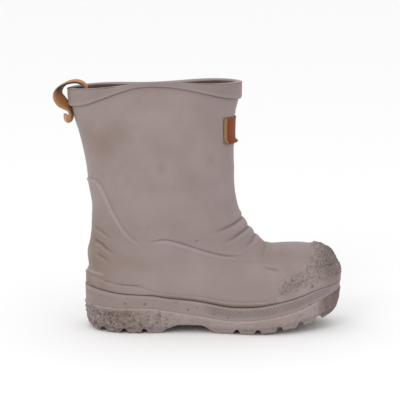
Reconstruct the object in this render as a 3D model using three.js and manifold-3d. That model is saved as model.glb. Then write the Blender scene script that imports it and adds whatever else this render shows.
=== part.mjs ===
// A child's natural rubber boot for the right foot: a hollow upper with a moulded shaft, a rough toe cap,
// a band round the collar, a chunky two-part sole with lugs, an insole, a leather pull loop and a leather
// label. Millimetres, +X towards the toe, +Y towards the inner side of the foot, +Z up. The origin lies on
// the floor under the middle of the heel.

import * as THREE from "three";
import { mergeVertices } from "three/addons/utils/BufferGeometryUtils.js";
import Module from "manifold-3d";

const wasm = await Module();
wasm.setup();

// Driving sizes of the whole boot
const SOLE_LENGTH = 195; // back of the heel to the toe tip
const HEEL_BACK = 31; // how far the heel reaches behind the origin
const BALL_WIDTH = 79;
const SHAFT_DEPTH = 112; // back of the heel to the front of the shaft
const SHAFT_WIDTH = 66;
const TOE_HEIGHT = 64; // floor to the top of the toe
const BOOT_HEIGHT = 188; // floor to the top of the collar in front
const JOINT_HEIGHT = 35; // floor to the joint of upper and sole at the toe
const TOE_IN = 6; // how far the toe tip lies towards the inner side
const WAIST_SWING = 1.5; // how far the waist lies towards the outer side
const WALL = 2.5; // wall of the upper
const FIT = 0.3; // gap between pieces that meet

// Sizes of the pieces
const SOLE_LEDGE = 2.4; // how far the sole stands out past the upper
const RAND_OUT = 1.1; // how far the raised lip along the lower edge of the upper stands out
const HEEL_LIP_OUT = 2.2; // the same lip where it forms the kick ledge behind the heel
const HEEL_LIP_HEIGHT = 9.6;
const LIP_EDGE = 1; // height over which the lip's upper edge runs out
const CAP_THICKNESS = 1.2;
const BUMPER_THICKNESS = 2.6; // the toe cap low down at its front
const COLLAR_ARCH = 1.3; // how far the collar rises at its sides
const COLLAR_LEAN = 3; // how much more it rises at the outer side, and less at the inner side
const LEAN_POWER = 5; // how closely that keeps to the middle of the sides
const BAND_OUT = 2.2; // how far the collar band stands out
const BAND_ROUND = 0.8;
const BAND_FOOT = 0.06; // share of the band's height over which its lower edge is bevelled
const BAND_DROP = 1.1; // how far the upper stops below the top of the band
const INSOLE_THICKNESS = 3;
const INSOLE_GAP = 0.8; // between the insole's edge and the wall
const TOE_SPRING = 12.5; // how far the outsole lifts at the toe tip
const HEEL_LIFT = 4; // how far it lifts at the back of the heel
const ARCH_RISE = 6;
const LUG_DEPTH = 4;
const LUG_GAP = 4.5; // width of a channel between two lugs
const LUG_REACH = 19; // how far a side channel runs in from the edge
const SPINE_WIDTH = 25; // the middle row of lugs
const LOOP_WIDTH = 13;
const LOOP_THICKNESS = 2.3;
const LABEL_HEIGHT = 19.6;
const LABEL_THICKNESS = 1.1;
const LABEL_GAP = 0.4; // between the label's back and the shaft
const COUNTER_STEP = 0.8; // how far the heel counter stands out
const PANEL_STEP = 0.9; // how far the lower side panel stands out at its edge
const FLEX_DEPTH = 1.3; // depth of the flex grooves at heel and instep
const FLEX_WIDTH = 2.2; // from the middle of a groove to its soft edge

// Numbers of faces
const AROUND = 56;
const OUTER_RINGS = 38;
const INNER_RINGS = 15;
const LIP_ROWS = [0.75, 0.85]; // highest rows for the two rings at the lip's edge

const TOE_TIP = SOLE_LENGTH - HEEL_BACK;
const SHAFT_FRONT = SHAFT_DEPTH - HEEL_BACK;

// The upper, a row for each level from the sole joint up to the collar. back is the back line, as a share
// of the shaft's depth from the back of the heel. front is the front line, from the front of the shaft (0)
// to the toe tip (1). Levels run from the floor (0) to the top of the toe (1) and the collar (2). sag is
// how far a ring rounds down beside the instep, as a share of the toe's height. heel, waist, ball and nose
// are the fullness of the sides, as shares of half the width that the level follows: the ball's low down,
// the shaft's higher up.
const UPPER = [
  { back: 0.018, front: 0.965, backUp: 0.531, frontUp: 0.547, sag: 0,
    heel: 1.27, waist: 0.68, ball: 1.08, nose: 1.32 },
  { back: 0.019, front: 0.966, backUp: 0.734, frontUp: 0.688, sag: 0,
    heel: 1.27, waist: 0.72, ball: 1.05, nose: 1.27 },
  { back: 0.017, front: 0.948, backUp: 0.781, frontUp: 0.781, sag: 0.02,
    heel: 1.24, waist: 0.75, ball: 0.96, nose: 1.17 },
  { back: 0.014, front: 0.905, backUp: 0.828, frontUp: 0.88, sag: 0.063,
    heel: 1.22, waist: 0.76, ball: 0.88, nose: 1.06 },
  { back: 0.013, front: 0.837, backUp: 0.883, frontUp: 0.942, sag: 0.148,
    heel: 1.21, waist: 0.79, ball: 0.84, nose: 1.04 },
  { back: 0.016, front: 0.723, backUp: 0.938, frontUp: 0.983, sag: 0.188,
    heel: 1.2, waist: 0.82, ball: 0.85, nose: 1.01 },
  { back: 0.027, front: 0.578, backUp: 1.0, frontUp: 0.995, sag: 0.18,
    heel: 1.2, waist: 0.85, ball: 0.87, nose: 0.98 },
  { back: 0.037, front: 0.422, backUp: 1.036, frontUp: 0.973, sag: 0.109,
    heel: 1.2, waist: 0.88, ball: 0.9, nose: 0.95 },
  { back: 0.042, front: 0.307, backUp: 1.081, frontUp: 1.0, sag: 0.078,
    heel: 1.2, waist: 0.91, ball: 0.94, nose: 0.92 },
  { back: 0.046, front: 0.211, backUp: 1.129, frontUp: 1.056, sag: 0.047,
    heel: 1.21, waist: 0.94, ball: 0.97, nose: 0.91 },
  { back: 0.047, front: 0.133, backUp: 1.185, frontUp: 1.121, sag: 0.031,
    heel: 1.21, waist: 0.97, ball: 1, nose: 0.91 },
  { back: 0.048, front: 0.072, backUp: 1.246, frontUp: 1.194, sag: 0.016,
    heel: 1.18, waist: 0.98, ball: 1, nose: 0.91 },
  { back: 0.038, front: 0.037, backUp: 1.31, frontUp: 1.266, sag: 0,
    heel: 1.15, waist: 0.99, ball: 1, nose: 0.91 },
  { back: 0.021, front: 0.012, backUp: 1.395, frontUp: 1.371, sag: 0,
    heel: 1.11, waist: 0.99, ball: 0.99, nose: 0.94 },
  { back: 0.006, front: 0.008, backUp: 1.508, frontUp: 1.492, sag: 0,
    heel: 1.06, waist: 1, ball: 1, nose: 0.98 },
  { back: -0.023, front: 0.006, backUp: 1.637, frontUp: 1.637, sag: 0,
    heel: 1.03, waist: 1, ball: 1, nose: 1 },
  { back: -0.069, front: 0.01, backUp: 1.774, frontUp: 1.774, sag: 0,
    heel: 1.02, waist: 1, ball: 1, nose: 1 },
  { back: -0.09, front: 0.049, backUp: 1.871, frontUp: 1.887, sag: 0,
    heel: 1, waist: 0.96, ball: 0.96, nose: 1 },
  { back: -0.098, front: 0.056, backUp: 1.96, frontUp: 2, sag: 0,
    heel: 1, waist: 0.91, ball: 0.91, nose: 1 },
];
const TOP_ROW = UPPER.length - 1;
const ARCH_ROW = TOP_ROW - 2; // from here up the sides of a ring rise towards the collar
const ANKLE_ROW = 10; // from here up the sides follow the width of the shaft
const FOOT_ROWS = 3; // below here they follow the width of the ball
const SAG = { from: 0.4, to: 0.95 }; // where a ring starts to round down, from its back to its front

// Stations of the fullness columns, from the back line (0) to the front line (1)
const STATIONS = [
  { column: "heel", at: 0 },
  { column: "waist", at: 0.4 },
  { column: "ball", at: 0.75 },
  { column: "nose", at: 1 },
];

// Lines along the side of the sole, from the back of the heel (0) to the toe tip (1). joint is the joint of
// upper and midsole as a share of its height at the toe, and ridge is the top of the outsole as a share of
// the joint. rand is the height of the raised lip as a share of the kick ledge's.
const SOLE_LINES = [
  { along: 0, joint: 0.971, ridge: 0.63, rand: 1 },
  { along: 0.045, joint: 0.94, ridge: 0.62, rand: 0.8 },
  { along: 0.13, joint: 0.874, ridge: 0.65, rand: 0.7 },
  { along: 0.215, joint: 0.843, ridge: 0.68, rand: 0.66 },
  { along: 0.262, joint: 0.829, ridge: 0.68, rand: 0.33 },
  { along: 0.328, joint: 0.766, ridge: 0.65, rand: 0.33 },
  { along: 0.446, joint: 0.694, ridge: 0.556, rand: 0.36 },
  { along: 0.544, joint: 0.606, ridge: 0.52, rand: 0.36 },
  { along: 0.6, joint: 0.597, ridge: 0.525, rand: 0.36 },
  { along: 0.677, joint: 0.629, ridge: 0.56, rand: 0.36 },
  { along: 0.754, joint: 0.714, ridge: 0.595, rand: 0.3 },
  { along: 0.83, joint: 0.817, ridge: 0.66, rand: 0.3 },
  { along: 0.908, joint: 0.949, ridge: 0.74, rand: 0.3 },
  { along: 1, joint: 1, ridge: 0.87, rand: 0.3 },
];

// Feature lines on the sides, along the sole (0 to 1) and up by level (floor 0, toe 1, collar 2)
const COUNTER_EDGE = [
  { along: 0, up: 1.4 },
  { along: 0.045, up: 1.402 },
  { along: 0.082, up: 1.315 },
  { along: 0.108, up: 1.226 },
  { along: 0.138, up: 1.145 },
  { along: 0.164, up: 1.088 },
  { along: 0.195, up: 1.048 },
];
const PANEL_EDGE = [
  { along: 0.228, up: 1.03 },
  { along: 0.292, up: 1.058 },
  { along: 0.369, up: 1.042 },
  { along: 0.485, up: 0.963 },
  { along: 0.569, up: 0.915 },
];
// Flex grooves, three behind the heel and three over the instep, each from its deep end
const FLEX_GROOVES = [
  [{ along: 0.02, up: 1.16 }, { along: 0.1, up: 1.085 }],
  [{ along: 0.02, up: 1.085 }, { along: 0.075, up: 1.03 }, { along: 0.111, up: 0.97 }],
  [{ along: 0.02, up: 0.97 }, { along: 0.088, up: 0.865 }],
  [{ along: 0.612, up: 1.16 }, { along: 0.573, up: 1.139 }, { along: 0.497, up: 1.1 }],
  [{ along: 0.637, up: 1.1 }, { along: 0.6, up: 1.084 }, { along: 0.531, up: 1.047 }],
  [{ along: 0.67, up: 1.05 }, { along: 0.646, up: 1.028 }, { along: 0.624, up: 1.0 }],
];

// Where the details of the upper fade in or out: edge by level, the others along the sole
const LIP_FADE = { heelFrom: 0.01, heelTo: 0.06, endFrom: 0.68, endTo: 0.72 };
const COUNTER_FADE = { from: 0.15, to: 0.2, edge: 0.012, lowFrom: 0.9, lowTo: 1.1 };
const PANEL_FADE = { from: 0.2, to: 0.26, endFrom: 0.5, endTo: 0.58, edge: 0.01, lowFrom: 0.7, lowTo: 1 };
const FLEX_FADE = 0.6; // share of a groove's length at which it starts to run out

// Edge of the toe cap seen from the side, from the sole up over the top of the toe
const CAP_EDGE = [
  { along: 0.738, up: 0.2 },
  { along: 0.738, up: 0.556 },
  { along: 0.754, up: 0.625 },
  { along: 0.795, up: 0.713 },
  { along: 0.832, up: 0.75 },
  { along: 0.862, up: 0.844 },
  { along: 0.878, up: 0.92 },
  { along: 0.893, up: 1.3 },
];
const BUMPER_TOP = 0.73; // level of the bumper's upper edge at the toe tip
const BUMPER_EDGE = 0.02; // half the height of that edge, by level
const BUMPER_FADE = { from: 0.85, to: 0.95 }; // along the sole
const CAP_ROW = 7; // the cap is cut from a shell up to this row

// Lower edge of the collar band along the boot's depth, and its level before the collar's rise is added
const BAND_EDGE = [
  { along: -0.1, up: 1.85 },
  { along: 0, up: 1.863 },
  { along: 0.08, up: 1.884 },
  { along: 0.24, up: 1.927 },
  { along: 0.36, up: 1.949 },
  { along: 0.52, up: 1.952 },
  { along: 0.68, up: 1.944 },
  { along: 0.82, up: 1.926 },
  { along: 0.96, up: 1.903 },
  { along: 1.1, up: 1.888 },
];

// Rings of the soles' sides from the top down: drop is the share of the way to the bottom, out how far the
// ring stands out as a share of the ledge, and tuck how far it draws in at the toe tip, likewise
const MIDSOLE_SIDE = [
  { drop: 0, out: 0.5 },
  { drop: 0.12, out: 1 },
  { drop: 0.7, out: 0.96 },
  { drop: 1, out: 0.8 },
];
const OUTSOLE_SIDE = [
  { drop: 0, out: 0.8, tuck: 0 },
  { drop: 0.06, out: 1.33, tuck: 0 },
  { drop: 0.16, out: 1.0, tuck: 0 },
  { drop: 0.5, out: 0.9, tuck: 0.1 },
  { drop: 0.8, out: 0.6, tuck: 0.5 },
  { drop: 1, out: -0.1, tuck: 1.1 },
];
const NOSE_POWER = 4; // how closely the tuck keeps to the toe tip

// Places of the lug channels, as shares of the sole's length
const SIDE_CHANNELS = [0.072, 0.154, 0.231, 0.588, 0.669, 0.753, 0.834, 0.905];
const SPINE_CHANNELS = [0.112, 0.194, 0.548, 0.628, 0.711, 0.794, 0.868];
const ARCH = [
  { along: 0.289, rise: -0.3 },
  { along: 0.315, rise: 0.5 },
  { along: 0.355, rise: 1 },
  { along: 0.455, rise: 1 },
  { along: 0.49, rise: 0.4 },
  { along: 0.51, rise: -0.3 },
];

// Where the outsole starts to lift, along the sole, and how its curve runs
const TOE_LIFT = { from: 0.655, power: 1.25 };
const BACK_LIFT = { from: 0.07, power: 1.5 };
const CHANNEL_TAPER = 0.8; // width of a channel at its root, as a share of its width at the floor

// The pull loop's middle line seen from the side. out is how far it lies behind the back of the heel, as a
// share of the shaft's depth, and up its level
const LOOP_PATH = [
  { out: 0.012, up: 1.758 },
  { out: 0.018, up: 1.839 },
  { out: 0.005, up: 1.911 },
  { out: -0.012, up: 1.953 },
  { out: 0.005, up: 1.981 },
  { out: 0.043, up: 1.995 },
  { out: 0.085, up: 1.994 },
  { out: 0.125, up: 1.982 },
  { out: 0.159, up: 1.959 },
  { out: 0.178, up: 1.929 },
  { out: 0.175, up: 1.901 },
  { out: 0.154, up: 1.873 },
  { out: 0.13, up: 1.851 },
  { out: 0.113, up: 1.827 },
  { out: 0.103, up: 1.8 },
  { out: 0.104, up: 1.776 },
  { out: 0.114, up: 1.76 },
  { out: 0.129, up: 1.756 },
  { out: 0.139, up: 1.771 },
  { out: 0.14, up: 1.803 },
];

const LABEL_MIDDLE = 1.712; // level of the label's middle
const LABEL_SPREAD = 0.555; // how far it wraps to each side, as an angle in the shaft's oval
const LABEL_STEPS = 8;

// Helpers for numbers
const SMALL_STEP = 0.02; // of row or turn, to find a direction
const ROW_CLOSE = 1e-5; // how closely a row is found
const clamp = THREE.MathUtils.clamp;
const lerp = THREE.MathUtils.lerp;
const ease = (low, high, value) => THREE.MathUtils.smoothstep(value, low, high);

function alongSole(x) {
  return (x + HEEL_BACK) / SOLE_LENGTH;
}

function soleX(along) {
  return along * SOLE_LENGTH - HEEL_BACK;
}

function levelZ(level) {
  return level <= 1 ? level * TOE_HEIGHT : lerp(TOE_HEIGHT, BOOT_HEIGHT, level - 1);
}

// A smooth line through the rows of a table, at a given value of the key column
function throughRows(rows, key, column, value) {
  const last = rows.length - 1;
  const inside = clamp(value, rows[0][key], rows[last][key]);
  let i = 0;
  while (i < last - 1 && rows[i + 1][key] < inside) i += 1;
  const slope = (a, b) => (rows[b][column] - rows[a][column]) / (rows[b][key] - rows[a][key]);
  const tangent = (k) => (k === 0 ? slope(0, 1) : k === last ? slope(last - 1, last) : slope(k - 1, k + 1));
  const width = rows[i + 1][key] - rows[i][key];
  const t = (inside - rows[i][key]) / width;
  const rise = rows[i + 1][column] - rows[i][column];
  const start = tangent(i) * width;
  const end = tangent(i + 1) * width;
  return rows[i][column] + t * (start + t * (3 * rise - 2 * start - end + t * (start + end - 2 * rise)));
}

// A value of the upper's table between two rows
function upperAt(column, row) {
  const i = Math.min(Math.floor(row), TOP_ROW - 1);
  const t = row - i;
  const value = (k) => UPPER[clamp(k, 0, TOP_ROW)][column];
  const start = (value(i + 1) - value(i - 1)) / 2;
  const end = (value(i + 2) - value(i)) / 2;
  const rise = value(i + 1) - value(i);
  return value(i) + t * (start + t * (3 * rise - 2 * start - end + t * (start + end - 2 * rise)));
}

function jointZ(x) {
  return throughRows(SOLE_LINES, "along", "joint", alongSole(x)) * JOINT_HEIGHT;
}

function ridgeZ(x) {
  return throughRows(SOLE_LINES, "along", "ridge", alongSole(x)) * jointZ(x);
}

// Underside of the lugs before the arch is cut
function groundZ(x) {
  const along = alongSole(x);
  const toe = clamp((along - TOE_LIFT.from) / (1 - TOE_LIFT.from), 0, 1);
  const heel = clamp(1 - along / BACK_LIFT.from, 0, 1);
  return TOE_SPRING * toe ** TOE_LIFT.power + HEEL_LIFT * heel ** BACK_LIFT.power;
}

// How far the collar rises above the line from its back to its front
function collarRise(turn) {
  return (COLLAR_ARCH - COLLAR_LEAN * Math.sin(turn) ** LEAN_POWER) * Math.sin(turn) ** 2;
}

// Point of the upper's outer form at a row (0 at the joint) and a turn (0 at the front, pi at the back)
function formPoint(row, turn) {
  const share = (1 + Math.cos(turn)) / 2;
  const backX = upperAt("back", row) * SHAFT_DEPTH - HEEL_BACK;
  const frontX = lerp(SHAFT_FRONT, TOE_TIP, upperAt("front", row));
  const x = lerp(backX, frontX, share);
  const backZ = levelZ(upperAt("backUp", row));
  const frontZ = levelZ(upperAt("frontUp", row));
  const side = Math.sin(turn) ** 2;
  const sag = upperAt("sag", row) * TOE_HEIGHT * side * ease(SAG.from, SAG.to, share);
  const arch = collarRise(turn) * ease(ARCH_ROW, TOP_ROW, row);
  const straight = lerp(levelZ(UPPER[0].backUp), levelZ(UPPER[0].frontUp), share);
  const drop = (straight - jointZ(x)) * clamp(1 - row / FOOT_ROWS, 0, 1) ** 2;
  const z = lerp(backZ, frontZ, share) - sag - drop + arch;

  const shaftShare = clamp((row - FOOT_ROWS) / (ANKLE_ROW - FOOT_ROWS), 0, 1);
  const halfWidth = lerp(BALL_WIDTH, SHAFT_WIDTH, shaftShare) / 2;
  const columns = STATIONS.map(({ column, at }) => ({ at, full: upperAt(column, row) }));
  const full = throughRows(columns, "at", "full", share) * halfWidth;
  const footShare = clamp(1 - row / ANKLE_ROW, 0, 1);
  const middle = footShare * (TOE_IN * share ** 3 - WAIST_SWING * side);
  return new THREE.Vector3(x, full * Math.sin(turn) + middle, z);
}

function formNormal(row, turn) {
  const low = Math.max(row - SMALL_STEP, 0);
  const high = Math.min(row + SMALL_STEP, TOP_ROW);
  const up = formPoint(high, turn).sub(formPoint(low, turn));
  const round = formPoint(row, turn + SMALL_STEP).sub(formPoint(row, turn - SMALL_STEP));
  return round.cross(up).normalize();
}

function offsetPoint(row, turn, out) {
  return formPoint(row, turn).addScaledVector(formNormal(row, turn), out);
}

// Distance in the side view from a point to a feature line, and where along the line it is nearest
function nearLine(path, x, z) {
  let best = { distance: Infinity, share: 0 };
  for (let i = 0; i < path.length - 1; i += 1) {
    const a = new THREE.Vector2(soleX(path[i].along), levelZ(path[i].up));
    const b = new THREE.Vector2(soleX(path[i + 1].along), levelZ(path[i + 1].up));
    const way = b.clone().sub(a);
    const from = new THREE.Vector2(x, z).sub(a);
    const t = clamp(from.dot(way) / way.lengthSq(), 0, 1);
    const distance = from.sub(way.clone().multiplyScalar(t)).length();
    if (distance < best.distance) best = { distance, share: (i + t) / (path.length - 1) };
  }
  return best;
}

function randHeight(x) {
  return throughRows(SOLE_LINES, "along", "rand", alongSole(x)) * HEEL_LIP_HEIGHT;
}

// How far the raised details of the upper stand out from its form
function reliefAt(point) {
  const along = alongSole(point.x);
  const above = point.z - jointZ(point.x);
  const heelShare = 1 - ease(LIP_FADE.heelFrom, LIP_FADE.heelTo, along);
  const lip = lerp(RAND_OUT, HEEL_LIP_OUT, heelShare) * (1 - ease(LIP_FADE.endFrom, LIP_FADE.endTo, along));
  let relief = lip * (1 - ease(0, LIP_EDGE, above - randHeight(point.x)));

  const overToe = (point.z - TOE_HEIGHT) / (BOOT_HEIGHT - TOE_HEIGHT);
  const level = point.z > TOE_HEIGHT ? 1 + overToe : point.z / TOE_HEIGHT;
  const below = (edge, fade) => {
    const top = throughRows(edge, "along", "up", along);
    return (1 - ease(-fade.edge, fade.edge, level - top)) * ease(fade.lowFrom, fade.lowTo, level);
  };
  const counterFade = 1 - ease(COUNTER_FADE.from, COUNTER_FADE.to, along);
  relief += COUNTER_STEP * counterFade * below(COUNTER_EDGE, COUNTER_FADE);
  const panelStart = ease(PANEL_FADE.from, PANEL_FADE.to, along);
  const panelEnd = 1 - ease(PANEL_FADE.endFrom, PANEL_FADE.endTo, along);
  relief += PANEL_STEP * panelStart * panelEnd * below(PANEL_EDGE, PANEL_FADE);

  for (const path of FLEX_GROOVES) {
    const { distance, share } = nearLine(path, point.x, point.z);
    relief -= FLEX_DEPTH * Math.exp(-((distance / FLEX_WIDTH) ** 2)) * (1 - ease(FLEX_FADE, 1, share));
  }
  return relief;
}

function turns(count) {
  return Array.from({ length: count }, (_, i) => (2 * Math.PI * i) / count);
}

// Rows at which the outer surface has a ring: the joint, both sides of the lip's edge, then evenly
function outerRow(index, turn) {
  const foot = formPoint(0, turn);
  const rise = formPoint(1, turn).z - foot.z;
  const lip = randHeight(foot.x);
  if (index === 0) return 0;
  if (index <= LIP_ROWS.length) {
    const edge = lip + LIP_EDGE * (index - 1);
    return Math.min(edge / rise, LIP_ROWS[index - 1]);
  }
  const first = LIP_ROWS.length + 1;
  return lerp(1, TOP_ROW, (index - first) / (OUTER_RINGS - first));
}

// Solids from rings of points
function toSolid(points, faces) {
  const vertProperties = new Float32Array(points.flatMap((p) => [p.x, p.y, p.z]));
  const mesh = new wasm.Mesh({ numProp: 3, vertProperties, triVerts: new Uint32Array(faces.flat()) });
  return new wasm.Manifold(mesh);
}

function quad(a, b, c, d) {
  return [
    [a, b, c],
    [a, c, d],
  ];
}

// A closed skin through rings that run round in turn, the last joined to the first
function closedLoft(rings) {
  const count = rings[0].length;
  const faces = [];
  rings.forEach((_, r) => {
    const next = (r + 1) % rings.length;
    for (let i = 0; i < count; i += 1) {
      const j = (i + 1) % count;
      faces.push(...quad(r * count + i, r * count + j, next * count + j, next * count + i));
    }
  });
  return toSolid(rings.flat(), faces);
}

// A slab through rings from the bottom up, closed below and above by strips from side to side
function slab(rings) {
  const count = rings[0].length;
  const faces = [];
  for (let r = 0; r < rings.length - 1; r += 1) {
    for (let i = 0; i < count; i += 1) {
      const j = (i + 1) % count;
      faces.push(...quad(r * count + i, r * count + j, (r + 1) * count + j, (r + 1) * count + i));
    }
  }
  const top = (rings.length - 1) * count;
  for (let i = 0; i < count / 2; i += 1) {
    const left = [i, i + 1];
    const right = [(count - i) % count, count - i - 1];
    const cap = quad(left[0], left[1], right[1], right[0]).filter((f) => new Set(f).size === 3);
    for (const [a, b, c] of cap) {
      faces.push([top + a, top + b, top + c]);
      faces.push([a, c, b]);
    }
  }
  return toSolid(rings.flat(), faces);
}

// A prism with an outline in the side view, across the whole boot
function sidePrism(outline, low, high) {
  const shape = new THREE.Shape(outline.map(([x, z]) => new THREE.Vector2(x, z)));
  const geometry = new THREE.ExtrudeGeometry(shape, { depth: high - low, bevelEnabled: false });
  geometry.rotateX(Math.PI / 2);
  geometry.translate(0, high, 0);
  return fromGeometry(geometry);
}

function fromGeometry(geometry) {
  geometry.deleteAttribute("normal");
  geometry.deleteAttribute("uv");
  const merged = mergeVertices(geometry, 1e-4);
  const mesh = new wasm.Mesh({
    numProp: 3,
    vertProperties: new Float32Array(merged.attributes.position.array),
    triVerts: new Uint32Array(merged.index.array),
  });
  return new wasm.Manifold(mesh);
}

function toMesh(name, solid, { color, roughness }) {
  const { vertProperties, triVerts } = solid.getMesh();
  const geometry = new THREE.BufferGeometry();
  geometry.setAttribute("position", new THREE.BufferAttribute(vertProperties, 3));
  geometry.setIndex(new THREE.BufferAttribute(triVerts, 1));
  geometry.computeVertexNormals();
  const mesh = new THREE.Mesh(geometry, new THREE.MeshStandardMaterial({ color, roughness, metalness: 0 }));
  mesh.name = name;
  return mesh;
}

// The upper stops below the band's top, and its lower edge lies a small gap above the midsole
function upperPoint(row, turn, out) {
  const point = offsetPoint(row, turn, out);
  if (row === 0) point.z = jointZ(point.x) + FIT;
  if (row === TOP_ROW) point.z -= BAND_DROP + FIT;
  return point;
}

function upper() {
  const around = turns(AROUND);
  const outer = Array.from({ length: OUTER_RINGS + 1 }, (_, k) =>
    around.map((turn) => {
      const row = outerRow(k, turn);
      return upperPoint(row, turn, reliefAt(formPoint(row, turn)));
    }),
  );
  const inner = Array.from({ length: INNER_RINGS + 1 }, (_, k) =>
    around.map((turn) => upperPoint((k * TOP_ROW) / INNER_RINGS, turn, -WALL)),
  );
  return closedLoft([...outer, ...inner.reverse()]);
}

// The toe cap is cut from a shell over the upper's own form
function toeCap() {
  const around = turns(AROUND);
  const rows = [];
  for (let k = 0; outerRow(k, 0) < CAP_ROW; k += 1) rows.push(k);
  const shellPoint = (k, turn, out) => {
    const row = outerRow(k, turn);
    const point = offsetPoint(row, turn, out);
    if (row === 0) point.z = jointZ(point.x) + FIT;
    return point;
  };
  const thickness = (k, turn) => {
    const { x, z } = formPoint(outerRow(k, turn), turn);
    const low = 1 - ease(BUMPER_TOP - BUMPER_EDGE, BUMPER_TOP + BUMPER_EDGE, z / TOE_HEIGHT);
    const front = ease(BUMPER_FADE.from, BUMPER_FADE.to, alongSole(x));
    return lerp(CAP_THICKNESS, BUMPER_THICKNESS, low * front);
  };
  const inner = rows.map((k) => around.map((turn) => shellPoint(k, turn, FIT)));
  const outer = rows.map((k) => around.map((turn) => shellPoint(k, turn, FIT + thickness(k, turn))));
  const shell = closedLoft([...outer, ...inner.reverse()]);
  const edge = CAP_EDGE.map(({ along, up }) => [soleX(along), levelZ(up)]);
  const ahead = TOE_TIP + BALL_WIDTH;
  const outline = [...edge, [ahead, edge.at(-1)[1]], [ahead, edge[0][1]]];
  return shell.intersect(sidePrism(outline, -BALL_WIDTH, BALL_WIDTH));
}

// Row of the shaft that lies at a height
function rowAtHeight(turn, z) {
  let low = ANKLE_ROW;
  let high = TOP_ROW;
  while (high - low > ROW_CLOSE) {
    const middle = (low + high) / 2;
    if (formPoint(middle, turn).z < z) low = middle;
    else high = middle;
  }
  return low;
}

// The band covers the upper's outer edge and its top
function collarBand() {
  const around = turns(AROUND);
  const depth = (x) => (x + HEEL_BACK) / SHAFT_DEPTH;
  const lowest = (turn) => {
    const top = formPoint(TOP_ROW, turn);
    return levelZ(throughRows(BAND_EDGE, "along", "up", depth(top.x))) + collarRise(turn);
  };
  const ring = (place) => around.map((turn) => place(turn, rowAtHeight(turn, lowest(turn))));
  const atTop = (out, down) => (turn) => {
    const point = offsetPoint(TOP_ROW, turn, out);
    point.z -= down;
    return point;
  };
  return closedLoft([
    ring((turn, row) => offsetPoint(row, turn, FIT)),
    ring((turn, row) => offsetPoint(row, turn, BAND_OUT - BAND_ROUND)),
    ring((turn, row) => offsetPoint(row + BAND_FOOT * (TOP_ROW - row), turn, BAND_OUT)),
    ring(atTop(BAND_OUT, BAND_ROUND)),
    ring(atTop(BAND_OUT - BAND_ROUND, 0)),
    ring(atTop(-WALL + BAND_ROUND, 0)),
    ring(atTop(-WALL, BAND_DROP)),
    ring(atTop(FIT, BAND_DROP)),
  ]);
}

// Outline of the sole at a given distance outside the upper's lower edge, in plan
function soleOutline(turn, out) {
  const point = formPoint(0, turn);
  const way = formPoint(0, turn + SMALL_STEP).sub(formPoint(0, turn - SMALL_STEP));
  const normal = new THREE.Vector3(way.y, -way.x, 0).normalize();
  return point.addScaledVector(normal, out);
}

function soleRing(out, tuck, height) {
  return turns(AROUND).map((turn) => {
    const noseward = Math.max(Math.cos(turn), 0) ** NOSE_POWER;
    const point = soleOutline(turn, (out - tuck * noseward) * SOLE_LEDGE);
    point.z = height(point.x);
    return point;
  });
}

function midsole() {
  const rings = MIDSOLE_SIDE.map(({ drop, out }) =>
    soleRing(out, 0, (x) => lerp(jointZ(x), ridgeZ(x) + FIT, drop)),
  );
  return slab(rings.reverse());
}

function channel(x, halfWidth, low, high) {
  const z = groundZ(x);
  const outline = [
    [x - halfWidth, z - LUG_DEPTH],
    [x + halfWidth, z - LUG_DEPTH],
    [x + halfWidth * CHANNEL_TAPER, z + LUG_DEPTH],
    [x - halfWidth * CHANNEL_TAPER, z + LUG_DEPTH],
  ];
  return sidePrism(outline, low, high);
}

function outsole() {
  const rings = OUTSOLE_SIDE.map(({ drop, out, tuck }) =>
    soleRing(out, tuck, (x) => lerp(ridgeZ(x), groundZ(x), drop)),
  );
  let solid = slab(rings.reverse());

  const arch = ARCH.map(({ along, rise }) => [soleX(along), rise * ARCH_RISE]);
  solid = solid.subtract(sidePrism(arch, -BALL_WIDTH, BALL_WIDTH));

  const half = SPINE_WIDTH / 2;
  for (const along of SIDE_CHANNELS) {
    const x = soleX(along);
    const turn = Math.acos(clamp(2 * along - 1, -1, 1));
    const outer = soleOutline(-turn, 0).y;
    const inner = soleOutline(turn, 0).y;
    const reach = Math.min(LUG_REACH, (inner - outer) / 2 - half);
    solid = solid.subtract(channel(x, LUG_GAP / 2, outer - BALL_WIDTH, outer + reach));
    solid = solid.subtract(channel(x, LUG_GAP / 2, inner - reach, inner + BALL_WIDTH));
  }
  for (const along of SPINE_CHANNELS) {
    solid = solid.subtract(channel(soleX(along), LUG_GAP / 2, -half, half));
  }
  return solid;
}

function insole() {
  const inset = -(WALL + INSOLE_GAP) / SOLE_LEDGE;
  const low = soleRing(inset, 0, (x) => jointZ(x) + FIT);
  const high = soleRing(inset, 0, (x) => jointZ(x) + FIT + INSOLE_THICKNESS);
  return slab([low, high]);
}

// A strap along a path in the side view, with its two faces half the thickness to either side
function pullLoop() {
  const place = ({ out, up }) => new THREE.Vector3(-HEEL_BACK - out * SHAFT_DEPTH, 0, levelZ(up));
  const nodes = LOOP_PATH.map(place);
  const path = new THREE.CatmullRomCurve3(nodes);
  const steps = LOOP_PATH.length * 2;
  const sides = [[], []];
  for (let i = 0; i <= steps; i += 1) {
    const point = path.getPoint(i / steps);
    const way = path.getTangent(i / steps);
    const out = new THREE.Vector3(way.z, 0, -way.x).multiplyScalar(LOOP_THICKNESS / 2);
    sides[0].push([point.x + out.x, point.z + out.z]);
    sides[1].push([point.x - out.x, point.z - out.z]);
  }
  return sidePrism([...sides[0], ...sides[1].reverse()], -LOOP_WIDTH / 2, LOOP_WIDTH / 2);
}

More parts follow.
